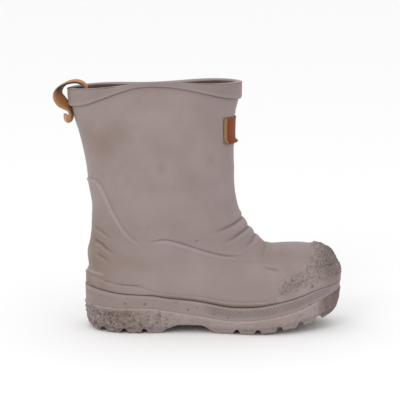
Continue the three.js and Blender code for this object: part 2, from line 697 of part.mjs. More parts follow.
// A leather patch that follows the front of the shaft
function label() {
  const ring = (row, out) => {
    const across = Array.from({ length: LABEL_STEPS + 1 }, (_, i) => (2 * i) / LABEL_STEPS - 1);
    return across.map((share) => offsetPoint(row, share * LABEL_SPREAD, out));
  };
  const middle = levelZ(LABEL_MIDDLE);
  const heights = [middle - LABEL_HEIGHT / 2, middle, middle + LABEL_HEIGHT / 2];
  const rows = heights.map((z) => rowAtHeight(0, z));
  const back = rows.map((row) => ring(row, LABEL_GAP));
  const face = rows.map((row) => ring(row, LABEL_GAP + LABEL_THICKNESS));
  return patch(back, face);
}

// A thin plate between two grids of points
function patch(back, face) {
  const rows = back.length;
  const columns = back[0].length;
  const at = (side, r, c) => (side * rows + r) * columns + c;
  const faces = [];
  for (let r = 0; r < rows - 1; r += 1) {
    for (let c = 0; c < columns - 1; c += 1) {
      faces.push(...quad(at(1, r, c), at(1, r, c + 1), at(1, r + 1, c + 1), at(1, r + 1, c)));
      faces.push(...quad(at(0, r, c), at(0, r + 1, c), at(0, r + 1, c + 1), at(0, r, c + 1)));
    }
  }
  for (let c = 0; c < columns - 1; c += 1) {
    faces.push(...quad(at(0, 0, c), at(0, 0, c + 1), at(1, 0, c + 1), at(1, 0, c)));
    const top = rows - 1;
    faces.push(...quad(at(1, top, c), at(1, top, c + 1), at(0, top, c + 1), at(0, top, c)));
  }
  for (let r = 0; r < rows - 1; r += 1) {
    const end = columns - 1;
    faces.push(...quad(at(0, r + 1, 0), at(0, r, 0), at(1, r, 0), at(1, r + 1, 0)));
    faces.push(...quad(at(0, r, end), at(0, r + 1, end), at(1, r + 1, end), at(1, r, end)));
  }
  return toSolid([...back.flat(), ...face.flat()], faces);
}

const RUBBER = { color: 0x9b8c88, roughness: 0.6 };
const SOLE_RUBBER = { color: 0x94847f, roughness: 0.75 };
const CAP_RUBBER = { color: 0x92837e, roughness: 0.8 };
const LINING = { color: 0x7a5c50, roughness: 0.95 };
const STRAP_LEATHER = { color: 0x9a6540, roughness: 0.6 };
const LABEL_LEATHER = { color: 0x8c4c34, roughness: 0.65 };

const group = new THREE.Group();
group.name = "rubber_boot";
group.add(
  toMesh("upper", upper(), RUBBER),
  toMesh("toe_cap", toeCap(), CAP_RUBBER),
  toMesh("collar_band", collarBand(), RUBBER),
  toMesh("midsole", midsole(), SOLE_RUBBER),
  toMesh("outsole", outsole(), SOLE_RUBBER),
  toMesh("insole", insole(), LINING),
  toMesh("pull_loop", pullLoop(), STRAP_LEATHER),
  toMesh("label", label(), LABEL_LEATHER),
);

export default group;
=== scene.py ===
"""A child's natural rubber boot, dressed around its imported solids: moulded upper, rough toe cap, collar
band, lugged sole, lining, leather pull loop and leather label. Lengths are in millimetres until a mesh is
made, and every mesh is in metres."""

import logging
import math
from dataclasses import dataclass, field
from enum import Enum
from typing import Callable, Sequence

import bmesh
import bpy
import numpy as np
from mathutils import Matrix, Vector, noise


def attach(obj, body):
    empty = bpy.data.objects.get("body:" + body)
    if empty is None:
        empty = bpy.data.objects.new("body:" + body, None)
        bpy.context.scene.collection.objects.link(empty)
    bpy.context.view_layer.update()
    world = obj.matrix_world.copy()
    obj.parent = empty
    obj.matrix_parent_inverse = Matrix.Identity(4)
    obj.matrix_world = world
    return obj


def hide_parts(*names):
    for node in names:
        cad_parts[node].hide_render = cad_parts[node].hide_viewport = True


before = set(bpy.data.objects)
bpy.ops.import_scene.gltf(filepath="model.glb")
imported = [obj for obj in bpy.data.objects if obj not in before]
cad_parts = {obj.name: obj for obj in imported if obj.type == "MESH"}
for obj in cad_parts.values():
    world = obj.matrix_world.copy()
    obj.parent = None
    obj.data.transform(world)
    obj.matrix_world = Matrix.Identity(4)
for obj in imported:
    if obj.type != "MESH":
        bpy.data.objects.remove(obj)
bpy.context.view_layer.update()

MM = 0.001
BODY = "root"
LOG = logging.getLogger("rubber_boot")

Piece, Material = bpy.types.Object, bpy.types.Material
Tree, Node, Socket = bpy.types.NodeTree, bpy.types.Node, bpy.types.NodeSocket
Masks = dict[str, np.ndarray]
Colour = tuple[float, float, float, float]
Line = tuple[tuple[float, float], ...]
Layers = tuple[tuple[float, float, float], ...]

# Sizes and tables, as the solids have them
SOLE_LENGTH = 195.0
HEEL_BACK = 31.0
BALL_WIDTH = 79.0
SHAFT_DEPTH = 112.0
SHAFT_WIDTH = 66.0
TOE_HEIGHT = 64.0
BOOT_HEIGHT = 188.0
JOINT_HEIGHT = 35.0
TOE_IN = 6.0
WAIST_SWING = 1.5
COLLAR_ARCH = 1.3
COLLAR_LEAN = 3.0
LEAN_POWER = 5
WALL = 2.5
FIT = 0.3
TOE_TIP = SOLE_LENGTH - HEEL_BACK
SHAFT_FRONT = SHAFT_DEPTH - HEEL_BACK

SOLE_LEDGE = 2.4
RAND_HEIGHT = 9.6
RAND_OUT = 1.1
HEEL_LIP_OUT = 2.2
CAP_THICKNESS = 1.2
BUMPER_THICKNESS = 2.6
BUMPER_LEVEL = 0.73
BAND_OUT = 2.2
TOE_SPRING = 12.5
HEEL_LIFT = 4.0
ARCH_RISE = 6.0
LUG_DEPTH = 4.0
LUG_GAP = 4.5
LUG_REACH = 19.0
SPINE_WIDTH = 25.0

# Where dirt and wear hide the line between upper and sole
FUSED_AT = 7.0
FUSED_REACH = 13.0


class Slot(Enum):
    """The record's material slots."""

    UPPER = "upper_rubber"
    SOLE = "sole_rubber"
    LINING = "lining_fabric"
    STRAP = "strap_leather"
    LABEL = "label_leather"


@dataclass(frozen=True)
class Level:
    """One level of the upper: its back and front line and the fullness of its sides."""

    back: float
    front: float
    back_up: float
    front_up: float
    sag: float
    heel: float
    waist: float
    ball: float
    nose: float


UPPER_LEVELS = (
    Level(0.018, 0.965, 0.531, 0.547, 0.0, 1.27, 0.68, 1.08, 1.32),
    Level(0.019, 0.966, 0.734, 0.688, 0.0, 1.27, 0.72, 1.05, 1.27),
    Level(0.017, 0.948, 0.781, 0.781, 0.02, 1.24, 0.75, 0.96, 1.17),
    Level(0.014, 0.905, 0.828, 0.88, 0.063, 1.22, 0.76, 0.88, 1.06),
    Level(0.013, 0.837, 0.883, 0.942, 0.148, 1.21, 0.79, 0.84, 1.04),
    Level(0.016, 0.723, 0.938, 0.983, 0.188, 1.2, 0.82, 0.85, 1.01),
    Level(0.027, 0.578, 1.0, 0.995, 0.18, 1.2, 0.85, 0.87, 0.98),
    Level(0.037, 0.422, 1.036, 0.973, 0.109, 1.2, 0.88, 0.9, 0.95),
    Level(0.042, 0.307, 1.081, 1.0, 0.078, 1.2, 0.91, 0.94, 0.92),
    Level(0.046, 0.211, 1.129, 1.056, 0.047, 1.21, 0.94, 0.97, 0.91),
    Level(0.047, 0.133, 1.185, 1.121, 0.031, 1.21, 0.97, 1.0, 0.91),
    Level(0.048, 0.072, 1.246, 1.194, 0.016, 1.18, 0.98, 1.0, 0.91),
    Level(0.038, 0.037, 1.31, 1.266, 0.0, 1.15, 0.99, 1.0, 0.91),
    Level(0.021, 0.012, 1.395, 1.371, 0.0, 1.11, 0.99, 0.99, 0.94),
    Level(0.006, 0.008, 1.508, 1.492, 0.0, 1.06, 1.0, 1.0, 0.98),
    Level(-0.023, 0.006, 1.637, 1.637, 0.0, 1.03, 1.0, 1.0, 1.0),
    Level(-0.069, 0.01, 1.774, 1.774, 0.0, 1.02, 1.0, 1.0, 1.0),
    Level(-0.09, 0.049, 1.871, 1.887, 0.0, 1.0, 0.96, 0.96, 1.0),
    Level(-0.098, 0.056, 1.96, 2.0, 0.0, 1.0, 0.91, 0.91, 1.0),
)
TOP_ROW = len(UPPER_LEVELS) - 1
ANKLE_ROW = 10
FOOT_ROWS = 3
HALVINGS = 26
STATIONS = (("heel", 0.0), ("waist", 0.4), ("ball", 0.75), ("nose", 1.0))


@dataclass(frozen=True)
class SideLine:
    """One place along the side of the sole."""

    along: float
    joint: float
    ridge: float
    rand: float


SOLE_LINES = (
    SideLine(0.0, 0.971, 0.63, 1.0),
    SideLine(0.045, 0.94, 0.62, 0.8),
    SideLine(0.13, 0.874, 0.65, 0.7),
    SideLine(0.215, 0.843, 0.68, 0.66),
    SideLine(0.262, 0.829, 0.68, 0.33),
    SideLine(0.328, 0.766, 0.65, 0.33),
    SideLine(0.446, 0.694, 0.556, 0.36),
    SideLine(0.544, 0.606, 0.52, 0.36),
    SideLine(0.6, 0.597, 0.525, 0.36),
    SideLine(0.677, 0.629, 0.56, 0.36),
    SideLine(0.754, 0.714, 0.595, 0.3),
    SideLine(0.83, 0.817, 0.66, 0.3),
    SideLine(0.908, 0.949, 0.74, 0.3),
    SideLine(1.0, 1.0, 0.87, 0.3),
)

# Feature lines seen from the side: share along the sole, and level (floor 0, toe 1, collar 2)
COUNTER_EDGE = ((0.0, 1.4), (0.045, 1.402), (0.062, 1.378), (0.082, 1.315), (0.108, 1.226),
                (0.138, 1.145), (0.164, 1.088), (0.195, 1.048), (0.235, 0.995))
PANEL_EDGE = ((0.228, 1.03), (0.255, 1.045), (0.292, 1.058), (0.32, 1.06), (0.369, 1.042),
              (0.425, 1.012), (0.485, 0.963), (0.53, 0.928), (0.569, 0.915), (0.62, 0.912))
CAP_EDGE = ((0.2, 0.738), (0.556, 0.738), (0.625, 0.754), (0.713, 0.795), (0.75, 0.832),
            (0.844, 0.862), (0.92, 0.878), (1.3, 0.893))
BAND_EDGE = ((-0.1, 1.85), (0.0, 1.863), (0.08, 1.884), (0.24, 1.927), (0.36, 1.949), (0.52, 1.952),
             (0.68, 1.944), (0.82, 1.926), (0.96, 1.903), (1.1, 1.888))


@dataclass(frozen=True)
class Groove:
    """A flex groove moulded or worn into the upper."""

    name: str
    path: Line
    depth: float
    width: float
    roll: float
    dark: float


GROOVES = (
    Groove("heel high", ((0.046, 1.12), (0.066, 1.107), (0.093, 1.082), (0.12, 1.048)),
           0.45, 1.0, 0.5, 0.35),
    Groove("heel middle", ((0.046, 1.04), (0.068, 1.026), (0.09, 1.0), (0.13, 0.925)), 0.7, 1.0, 0.5, 0.6),
    Groove("heel low", ((0.05, 0.93), (0.07, 0.905), (0.09, 0.87), (0.115, 0.82)), 0.5, 0.9, 0.5, 0.4),
    Groove("instep first", ((0.622, 1.18), (0.612, 1.168), (0.573, 1.139), (0.543, 1.124), (0.48, 1.095)),
           0.8, 0.8, 0.5, 0.7),
    Groove("instep second", ((0.648, 1.12), (0.637, 1.11), (0.6, 1.084), (0.573, 1.06), (0.515, 1.035)),
           0.8, 0.8, 0.5, 0.62),
    Groove("instep third", ((0.675, 1.08), (0.665, 1.068), (0.646, 1.03), (0.61, 0.995)), 0.7, 0.9, 0.5, 0.5),
    Groove("instep fourth", ((0.71, 1.03), (0.702, 1.01), (0.69, 0.94), (0.655, 0.875)), 0.3, 1.6, 0.3, 0.15),
    Groove("vamp scuff", ((0.745, 0.765), (0.73, 0.772), (0.712, 0.785), (0.69, 0.805), (0.675, 0.81)),
           0.2, 0.7, 0.3, 0.4),
    Groove("cap scuff", ((0.93, 0.905), (0.9, 0.895), (0.87, 0.89)), 0.3, 0.7, 0.2, 0.6),
)

# Dark pits painted as shade, with no relief: place along the boot, height and size
SPOTS = ((-18.1, 33.0, 0.5), (-9.7, 33.3, 0.5), (-0.2, 23.5, 0.55), (14.6, 23.1, 0.6), (46.9, 18.4, 0.6),
         (38.0, 24.0, 0.4), (133.4, 18.8, 0.7), (138.5, 22.4, 0.6), (139.5, 35.8, 0.75), (66.0, 15.5, 0.45),
         (77.0, 13.0, 0.5), (86.0, 17.0, 0.4), (54.0, 20.0, 0.4))
SPOT_SPREAD = 1.35
LEDGE_EDGE = ((-0.01, 0.688), (0.02, 0.692), (0.045, 0.694), (0.066, 0.688), (0.085, 0.66))


def ease(low: float, high: float, value: np.ndarray) -> np.ndarray:
    """Smooth step from 0 at low to 1 at high."""
    t = np.clip((np.asarray(value, float) - low) / (high - low), 0.0, 1.0)
    return t * t * (3 - 2 * t)


def bell(value: np.ndarray, width: float) -> np.ndarray:
    """A soft bump that is 1 at zero and fades over the width."""
    return np.exp(-((value / width) ** 2))


def level_z(level: np.ndarray) -> np.ndarray:
    """Height of a level: floor 0, top of the toe 1, collar 2."""
    level = np.asarray(level, float)
    return np.where(level <= 1, level * TOE_HEIGHT, TOE_HEIGHT + (level - 1) * (BOOT_HEIGHT - TOE_HEIGHT))


def along_sole(x: np.ndarray) -> np.ndarray:
    """Share of the sole's length from the back of the heel."""
    return (np.asarray(x, float) + HEEL_BACK) / SOLE_LENGTH


def sole_x(along: np.ndarray) -> np.ndarray:
    """Place of a share of the sole's length."""
    return np.asarray(along, float) * SOLE_LENGTH - HEEL_BACK


def hermite(y0: object, y1: object, m0: object, m1: object, t: object) -> np.ndarray:
    """Cubic between two values with their slopes."""
    rise = y1 - y0
    return y0 + t * (m0 + t * (3 * rise - 2 * m0 - m1 + t * (m0 + m1 - 2 * rise)))


def through(points: Line, value: np.ndarray) -> np.ndarray:
    """A smooth line through a table of points.

    Args:
        points: pairs of key and value, in rising order of key.
        value: keys to read the line at.

    Returns:
        The line's values, held flat past the table's ends.
    """
    xs, ys = (np.array(column, float) for column in zip(*points))
    v = np.clip(np.asarray(value, float), xs[0], xs[-1])
    i = np.clip(np.searchsorted(xs, v, side="left") - 1, 0, len(xs) - 2)
    slopes = np.empty(len(xs))
    slopes[0] = (ys[1] - ys[0]) / (xs[1] - xs[0])
    slopes[-1] = (ys[-1] - ys[-2]) / (xs[-1] - xs[-2])
    slopes[1:-1] = (ys[2:] - ys[:-2]) / (xs[2:] - xs[:-2])
    width = xs[i + 1] - xs[i]
    return hermite(ys[i], ys[i + 1], slopes[i] * width, slopes[i + 1] * width, (v - xs[i]) / width)


def level_value(column: str, row: np.ndarray) -> np.ndarray:
    """A column of the upper's table between its rows."""
    ys = np.array([getattr(level, column) for level in UPPER_LEVELS])
    row = np.asarray(row, float)
    i = np.clip(np.floor(row).astype(int), 0, TOP_ROW - 1)
    before, here, there, after = (ys[np.clip(i + step, 0, TOP_ROW)] for step in (-1, 0, 1, 2))
    return hermite(here, there, (there - before) / 2, (after - here) / 2, row - i)


def side_line(column: str, x: np.ndarray) -> np.ndarray:
    """A column of the sole's side lines at a place along the boot."""
    return through([(line.along, getattr(line, column)) for line in SOLE_LINES], along_sole(x))


def joint_z(x: np.ndarray) -> np.ndarray:
    """Height of the joint of upper and sole."""
    return side_line("joint", x) * JOINT_HEIGHT


def ridge_z(x: np.ndarray) -> np.ndarray:
    """Height of the ridge along the top of the outsole."""
    return side_line("ridge", x) * joint_z(x)


def ground_z(x: np.ndarray) -> np.ndarray:
    """Underside of the lugs, before the arch."""
    along = along_sole(x)
    toe = np.clip((along - 0.655) / 0.345, 0, 1)
    heel = np.clip(1 - along / 0.07, 0, 1)
    return TOE_SPRING * toe**1.25 + HEEL_LIFT * heel**1.5


def near_line(path: Line, x: np.ndarray,
              z: np.ndarray) -> tuple[np.ndarray, np.ndarray, np.ndarray]:
    """Distance in the side view to a feature line.

    Args:
        path: pairs of share along the sole and level.
        x: places to measure from.
        z: heights to measure from.

    Returns:
        The distance, the share along the line where it is nearest, and the signed height above the line.
    """
    px = sole_x([p[0] for p in path])
    pz = level_z([p[1] for p in path])
    best, share, above = np.full(np.shape(x), np.inf), np.zeros(np.shape(x)), np.zeros(np.shape(x))
    spans = np.hypot(np.diff(px), np.diff(pz))
    reached = 0.0
    for i, span in enumerate(spans):
        ux, uz = (px[i + 1] - px[i]) / span, (pz[i + 1] - pz[i]) / span
        t = np.clip((x - px[i]) * ux + (z - pz[i]) * uz, 0, span)
        dx, dz = x - px[i] - t * ux, z - pz[i] - t * uz
        d = np.hypot(dx, dz)
        closer = d < best
        best = np.where(closer, d, best)
        share = np.where(closer, (reached + t) / spans.sum(), share)
        above = np.where(closer, np.where(dz >= 0, d, -d), above)
        reached += span
    return best, share, above


def spots(points: np.ndarray) -> np.ndarray:
    """Dark pits painted as shade at their places in the side view."""
    x, z = points[..., 0], points[..., 2]
    return np.max([bell(np.hypot(x - at, z - up), SPOT_SPREAD * size) for at, up, size in SPOTS], axis=0)


def noise_field(points: np.ndarray, scale: float, seed: float = 0.0) -> np.ndarray:
    """Smooth noise between about -1 and 1 at points in millimetres, with features of the given size."""
    flat = points.reshape(-1, 3) / scale
    values = [noise.noise(Vector((x + seed, y - seed, z + 2 * seed))) for x, y, z in flat.tolist()]
    return np.array(values).reshape(points.shape[:-1])


def layered(points: np.ndarray, layers: Layers) -> np.ndarray:
    """Layers of smooth noise, each with the size of its features, its seed and its depth."""
    return sum(noise_field(points, size, seed) * depth for size, seed, depth in layers)


def fused(x: np.ndarray) -> np.ndarray:
    """1 where the joint of upper and sole is hidden, 0 elsewhere."""
    return bell(x - FUSED_AT, FUSED_REACH)


def even_turns(count: int) -> np.ndarray:
    """Turns spaced evenly round the boot, from its front."""
    return np.arange(count) * 2 * math.pi / count


def collar_rise(turn: np.ndarray) -> np.ndarray:
    """How far the collar rises above the line from its back to its front."""
    return (COLLAR_ARCH - COLLAR_LEAN * np.sin(turn) ** LEAN_POWER) * np.sin(turn) ** 2


class BootForm:
    """The smooth form that every piece of the boot follows."""

    def point(self, row: np.ndarray, turn: np.ndarray) -> np.ndarray:
        """Points of the upper's outer form.

        Args:
            row: 0 at the sole joint, up to the top row at the collar.
            turn: 0 at the front, pi at the back, positive on the inner side.

        Returns:
            An array of points with a last axis of three.
        """
        row, turn = np.broadcast_arrays(np.asarray(row, float), np.asarray(turn, float))
        share = (1 + np.cos(turn)) / 2
        side = np.sin(turn) ** 2
        back_x = level_value("back", row) * SHAFT_DEPTH - HEEL_BACK
        front_x = SHAFT_FRONT + (TOE_TIP - SHAFT_FRONT) * level_value("front", row)
        x = back_x + (front_x - back_x) * share
        back_z, front_z = level_z(level_value("back_up", row)), level_z(level_value("front_up", row))
        sag = level_value("sag", row) * TOE_HEIGHT * side * ease(0.4, 0.95, share)
        arch = collar_rise(turn) * ease(TOP_ROW - 2, TOP_ROW, row)
        low_back, low_front = level_z(UPPER_LEVELS[0].back_up), level_z(UPPER_LEVELS[0].front_up)
        drop = (low_back + (low_front - low_back) * share - joint_z(x)) * np.clip(1 - row / 3, 0, 1) ** 2
        z = back_z + (front_z - back_z) * share - sag - drop + arch
        shaft = np.clip((row - FOOT_ROWS) / (ANKLE_ROW - FOOT_ROWS), 0, 1)
        half = (BALL_WIDTH + (SHAFT_WIDTH - BALL_WIDTH) * shaft) / 2
        y = self.fullness(row, share) * half * np.sin(turn)
        foot = np.clip(1 - row / ANKLE_ROW, 0, 1)
        y = y + foot * (TOE_IN * share**3 - WAIST_SWING * side)
        return np.stack([x, y, z], axis=-1)

    def fullness(self, row: np.ndarray, share: np.ndarray) -> np.ndarray:
        """Fullness of the sides between the stations of the table."""
        at = np.array([place for _, place in STATIONS])
        full = [level_value(name, row) for name, _ in STATIONS]
        slopes = []
        for k in range(len(at)):
            a, b = max(k - 1, 0), min(k + 1, len(at) - 1)
            slopes.append((full[b] - full[a]) / (at[b] - at[a]))
        result = np.zeros(np.shape(share))
        for k in range(len(at) - 1):
            width = at[k + 1] - at[k]
            inside = (share >= at[k]) & (share <= at[k + 1])
            t = np.clip((share - at[k]) / width, 0, 1)
            here = hermite(full[k], full[k + 1], slopes[k] * width, slopes[k + 1] * width, t)
            result = np.where(inside, here, result)
        return result

    def normal(self, row: np.ndarray, turn: np.ndarray) -> np.ndarray:
        """Outward normals of the form."""
        step = 0.02
        row, turn = np.broadcast_arrays(np.asarray(row, float), np.asarray(turn, float))
        up = self.point(np.minimum(row + step, TOP_ROW), turn) - self.point(np.maximum(row - step, 0), turn)
        around = self.point(row, turn + step) - self.point(row, turn - step)
        cross = np.cross(around, up)
        return cross / np.linalg.norm(cross, axis=-1, keepdims=True)

    def offset(self, row: np.ndarray, turn: np.ndarray, out: np.ndarray) -> np.ndarray:
        """Points a distance outside the form."""
        return self.point(row, turn) + self.normal(row, turn) * np.asarray(out, float)[..., None]

    def row_at_height(self, turn: np.ndarray, z: np.ndarray, low: float = 0.0) -> np.ndarray:
        """Row at which each turn reaches a height."""
        below, above = np.full(np.shape(turn), low), np.full(np.shape(turn), float(TOP_ROW))
        for _ in range(HALVINGS):
            middle = (below + above) / 2
            under = self.point(middle, turn)[..., 2] < z
            below, above = np.where(under, middle, below), np.where(under, above, middle)
        return below

    def sole_outline(self, turn: np.ndarray, out: np.ndarray) -> np.ndarray:
        """Outline of the sole in plan, a distance outside the upper's lower edge."""
        step = 0.02
        way = self.point(0.0, turn + step) - self.point(0.0, turn - step)
        normal = np.stack([way[..., 1], -way[..., 0], np.zeros(np.shape(turn))], axis=-1)
        normal /= np.linalg.norm(normal, axis=-1, keepdims=True)
        return self.point(0.0, turn) + normal * np.asarray(out, float)[..., None]


FORM = BootForm()


def grid_faces(rows: int, columns: int, wrap: bool, first: int = 0, flip: bool = False) -> np.ndarray:
    """Quads of a grid of points, row by row.

    Args:
        rows: number of rows of points.
        columns: number of points in a row.
        wrap: whether the last column joins the first.
        first: index of the grid's first point.
        flip: whether the faces turn the other way.

    Returns:
        An array of quads.
    """
    r = np.arange(rows - 1)[:, None]
    c = np.arange(columns if wrap else columns - 1)[None, :]
    a, b = r * columns + c, r * columns + (c + 1) % columns
    quads = np.stack([a, b, b + columns, a + columns], axis=-1).reshape(-1, 4) + first
    return quads[:, ::-1] if flip else quads


def loop_faces(rows: int, columns: int) -> np.ndarray:
    """Quads of a loop of rings, whose last ring joins the first."""
    i = np.arange(columns)
    j, last = (i + 1) % columns, (rows - 1) * columns
    return np.concatenate([grid_faces(rows, columns, True), np.stack([last + i, last + j, j, i], axis=-1)])


def slab_faces(rows: int, columns: int) -> np.ndarray:
    """Quads of a solid between rings from the bottom up, with strips across its lowest and highest ring."""
    i = np.arange(columns // 2)
    strip = np.stack([i, i + 1, columns - i - 1, (columns - i) % columns], axis=-1)
    return np.concatenate([grid_faces(rows, columns, True), strip[:, ::-1], strip + (rows - 1) * columns])


def plate_faces(rows: int, columns: int) -> np.ndarray:
    """Quads of a plate: a grid of points, the same grid behind it, and strips along its four sides."""
    count = rows * columns
    index = np.arange(count).reshape(rows, columns)
    faces = [grid_faces(rows, columns, False), grid_faces(rows, columns, False, count, True)]
    for line in (index[0, ::-1], index[-1], index[:, 0], index[::-1, -1]):
        faces.append(np.stack([line[:-1], line[1:], line[1:] + count, line[:-1] + count], axis=-1))
    return np.concatenate(faces)


def with_back(masks: Masks, rows: int) -> Masks:
    """Masks of a face, with zeros for the rows of points behind it."""
    return {key: np.concatenate([mask, np.zeros((rows, mask.shape[1]))]) for key, mask in masks.items()}


def link_object(name: str, data: bpy.types.ID) -> Piece:
    """A new object in the scene."""
    thing = bpy.data.objects.new(name, data)
    bpy.context.collection.objects.link(thing)
    return thing


def set_mask(piece: Piece, key: str, values: np.ndarray) -> None:
    """Give a piece a value at each point, for the finishes to read."""
    attribute = piece.data.attributes.new(key, "FLOAT", "POINT")
    attribute.data.foreach_set("value", np.ascontiguousarray(values, dtype=np.float32).ravel())


def make_piece(name: str, points: np.ndarray, faces: np.ndarray, masks: Masks) -> Piece:
    """A mesh object from points in millimetres.

    Args:
        name: name of the piece.
        points: an array of points.
        faces: an array of quads.
        masks: values at each point for the finishes to read.

    Returns:
        The new object, linked to the scene.
    """
    points = points.reshape(-1, 3)
    mesh = bpy.data.meshes.new(name)
    mesh.vertices.add(len(points))
    mesh.vertices.foreach_set("co", (points * MM).ravel())
    mesh.loops.add(faces.size)
    mesh.loops.foreach_set("vertex_index", faces.ravel().astype(np.int32))
    mesh.polygons.add(len(faces))
    mesh.polygons.foreach_set("loop_start", np.arange(0, faces.size, faces.shape[1], dtype=np.int32))
    mesh.update(calc_edges=True)
    mesh.validate()
    shade_smooth(mesh)
    piece = link_object(name, mesh)
    for key, values in masks.items():
        set_mask(piece, key, values)
    return piece


def make_solid(name: str, points: np.ndarray, faces: np.ndarray, masks: Masks) -> Piece:
    """A closed mesh object that faces outwards, from what make_piece takes."""
    piece = make_piece(name, points, faces, masks)
    face_outwards(piece)
    return piece


def shade_smooth(mesh: bpy.types.Mesh) -> None:
    """Shade every face of a mesh smooth."""
    mesh.polygons.foreach_set("use_smooth", np.ones(len(mesh.polygons), dtype=bool))


def face_outwards(piece: Piece) -> None:
    """Close a piece's last small holes and turn its faces outwards."""
    mesh = bmesh.new()
    mesh.from_mesh(piece.data)
    bmesh.ops.remove_doubles(mesh, verts=mesh.verts, dist=1e-6)
    bmesh.ops.holes_fill(mesh, edges=[edge for edge in mesh.edges if edge.is_boundary], sides=4)
    bmesh.ops.recalc_face_normals(mesh, faces=mesh.faces)
    mesh.to_mesh(piece.data)
    mesh.free()
    shade_smooth(piece.data)


def vectors_of(piece: Piece) -> tuple[np.ndarray, np.ndarray]:
    """A piece's points in millimetres, and its normals at them."""
    values = np.empty((2, len(piece.data.vertices) * 3), np.float32)
    piece.data.vertices.foreach_get("co", values[0])
    piece.data.vertex_normals.foreach_get("vector", values[1])
    points, normals = values.reshape(2, -1, 3).astype(float)
    return points / MM, normals


def bake_modifiers(piece: Piece) -> None:
    """Turn a piece and its modifiers into a plain mesh."""
    graph = bpy.context.evaluated_depsgraph_get()
    mesh = bpy.data.meshes.new_from_object(piece.evaluated_get(graph))
    piece.modifiers.clear()
    old = piece.data
    piece.data = mesh
    mesh.name = old.name
    bpy.data.meshes.remove(old)
    shade_smooth(mesh)


def mount(piece: Piece, slot: Slot, material: Material, *nodes: str) -> None:
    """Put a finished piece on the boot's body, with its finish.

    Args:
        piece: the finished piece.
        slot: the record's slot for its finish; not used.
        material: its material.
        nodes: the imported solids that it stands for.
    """
    piece.data.materials.clear()
    piece.data.materials.append(material)
    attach(piece, BODY)
    if nodes:
        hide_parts(*nodes)
    LOG.info("%s: %d faces", piece.name, len(piece.data.polygons))


def tone(red: float, green: float, blue: float) -> Colour:
    """A colour from its 0 to 255 screen values."""
    straight = [c / 255 for c in (red, green, blue)]
    linear = [c / 12.92 if c <= 0.04045 else ((c + 0.055) / 1.055) ** 2.4 for c in straight]
    return (*linear, 1.0)


class Nodes:
    """Short calls for building a node tree."""

    def __init__(self, tree: Tree) -> None:
        """Keep the tree that is built."""
        self.tree = tree

    def feed(self, node: Node, values: dict[str | int, object]) -> None:
        """Link sockets to a node's inputs, or set their values."""
        for key, value in values.items():
            if isinstance(value, Socket):
                self.tree.links.new(value, node.inputs[key])
            else:
                node.inputs[key].default_value = value

    def add(self, kind: str, inputs: dict[str | int, object] | None = None, **settings: object) -> Node:
        """A new node.

        Args:
            kind: the node's type name.
            inputs: values or sockets for its inputs, by name or number.
            settings: the node's own properties.

        Returns:
            The node.
        """
        node = self.tree.nodes.new(kind)
        for key, value in settings.items():
            setattr(node, key, value)
        self.feed(node, inputs or {})
        return node

    def group(self, group: Tree, inputs: dict[str, object]) -> bpy.types.NodeOutputs:
        """Place a shared group, and give its outputs."""
        return self.add("ShaderNodeGroup", inputs, node_tree=group).outputs

    def math(self, operation: str, *values: object) -> Socket:
        """The result of an operation on up to three values."""
        return self.add("ShaderNodeMath", dict(enumerate(values)), operation=operation).outputs[0]

    def times(self, a: object, b: object) -> Socket:
        """The product of two values."""
        return self.math("MULTIPLY", a, b)

    def noise(self, vector: object, scale: object, detail: float = 2.0, rough: float = 0.5) -> Socket:
        """Smooth noise from 0 to 1."""
        inputs = {"Vector": vector, "Scale": scale, "Detail": detail, "Roughness": rough}
        return self.add("ShaderNodeTexNoise", inputs).outputs["Fac"]

    def cells(self, vector: object, scale: object) -> tuple[Socket, Socket]:
        """Distance to the middle of the nearest cell, and that cell's own random value."""
        cells = self.add("ShaderNodeTexVoronoi", {"Vector": vector, "Scale": scale}).outputs
        return cells["Distance"], self.add("ShaderNodeSeparateColor", {0: cells["Color"]}).outputs[0]

    def ramp(self, value: object, low: float, high: float, start: float = 0.0,
             end: float = 1.0) -> Socket:
        """A smooth step of a value between two limits."""
        inputs = {"Value": value, "From Min": low, "From Max": high, "To Min": start, "To Max": end}
        return self.add("ShaderNodeMapRange", inputs, interpolation_type="SMOOTHSTEP").outputs["Result"]

    def coats(self, colour: object, *coats: tuple[object, float, object]) -> Socket:
        """Colours laid over one another.

        Args:
            colour: the lowest colour.
            coats: each coat's mask, its strength and its colour.

        Returns:
            The colour on top.
        """
        for mask, strength, tint in coats:
            inputs = {0: self.times(mask, strength), 6: colour, 7: tint}
            colour = self.add("ShaderNodeMix", inputs, data_type="RGBA").outputs[2]
        return colour

    def mask(self, key: str) -> Socket:
        """A value that the piece holds at its points."""
        return self.add("ShaderNodeAttribute", attribute_name=key).outputs["Fac"]

    def bumps(self, *layers: tuple[object, float]) -> Socket:
        """Bumps on one another, each from a height of 0 to 1 and its depth in millimetres."""
        normal: dict[str, object] = {}
        for height, depth in layers:
            inputs = {"Height": height, "Distance": depth * MM, "Strength": 1.0, **normal}
            normal = {"Normal": self.add("ShaderNodeBump", inputs).outputs["Normal"]}
        return normal["Normal"]


def new_group(name: str, inputs: Sequence[str],
              outputs: Sequence[str]) -> tuple[Nodes, list[Socket], Node]:
    """A shader group with named sockets, of which Vector is a place and the others are values.

    Args:
        name: name of the group.
        inputs: names of its inputs.
        outputs: names of its outputs.

    Returns:
        The node builder, the sockets of the group's inputs and its output node.
    """
    tree = bpy.data.node_groups.new(name, "ShaderNodeTree")
    for way, keys in (("INPUT", inputs), ("OUTPUT", outputs)):
        for key in keys:
            kind = "NodeSocketVector" if key == "Vector" else "NodeSocketFloat"
            tree.interface.new_socket(name=key, in_out=way, socket_type=kind)
    nodes = Nodes(tree)
    given = nodes.add("NodeGroupInput").outputs
    return nodes, [given[key] for key in inputs], nodes.add("NodeGroupOutput")


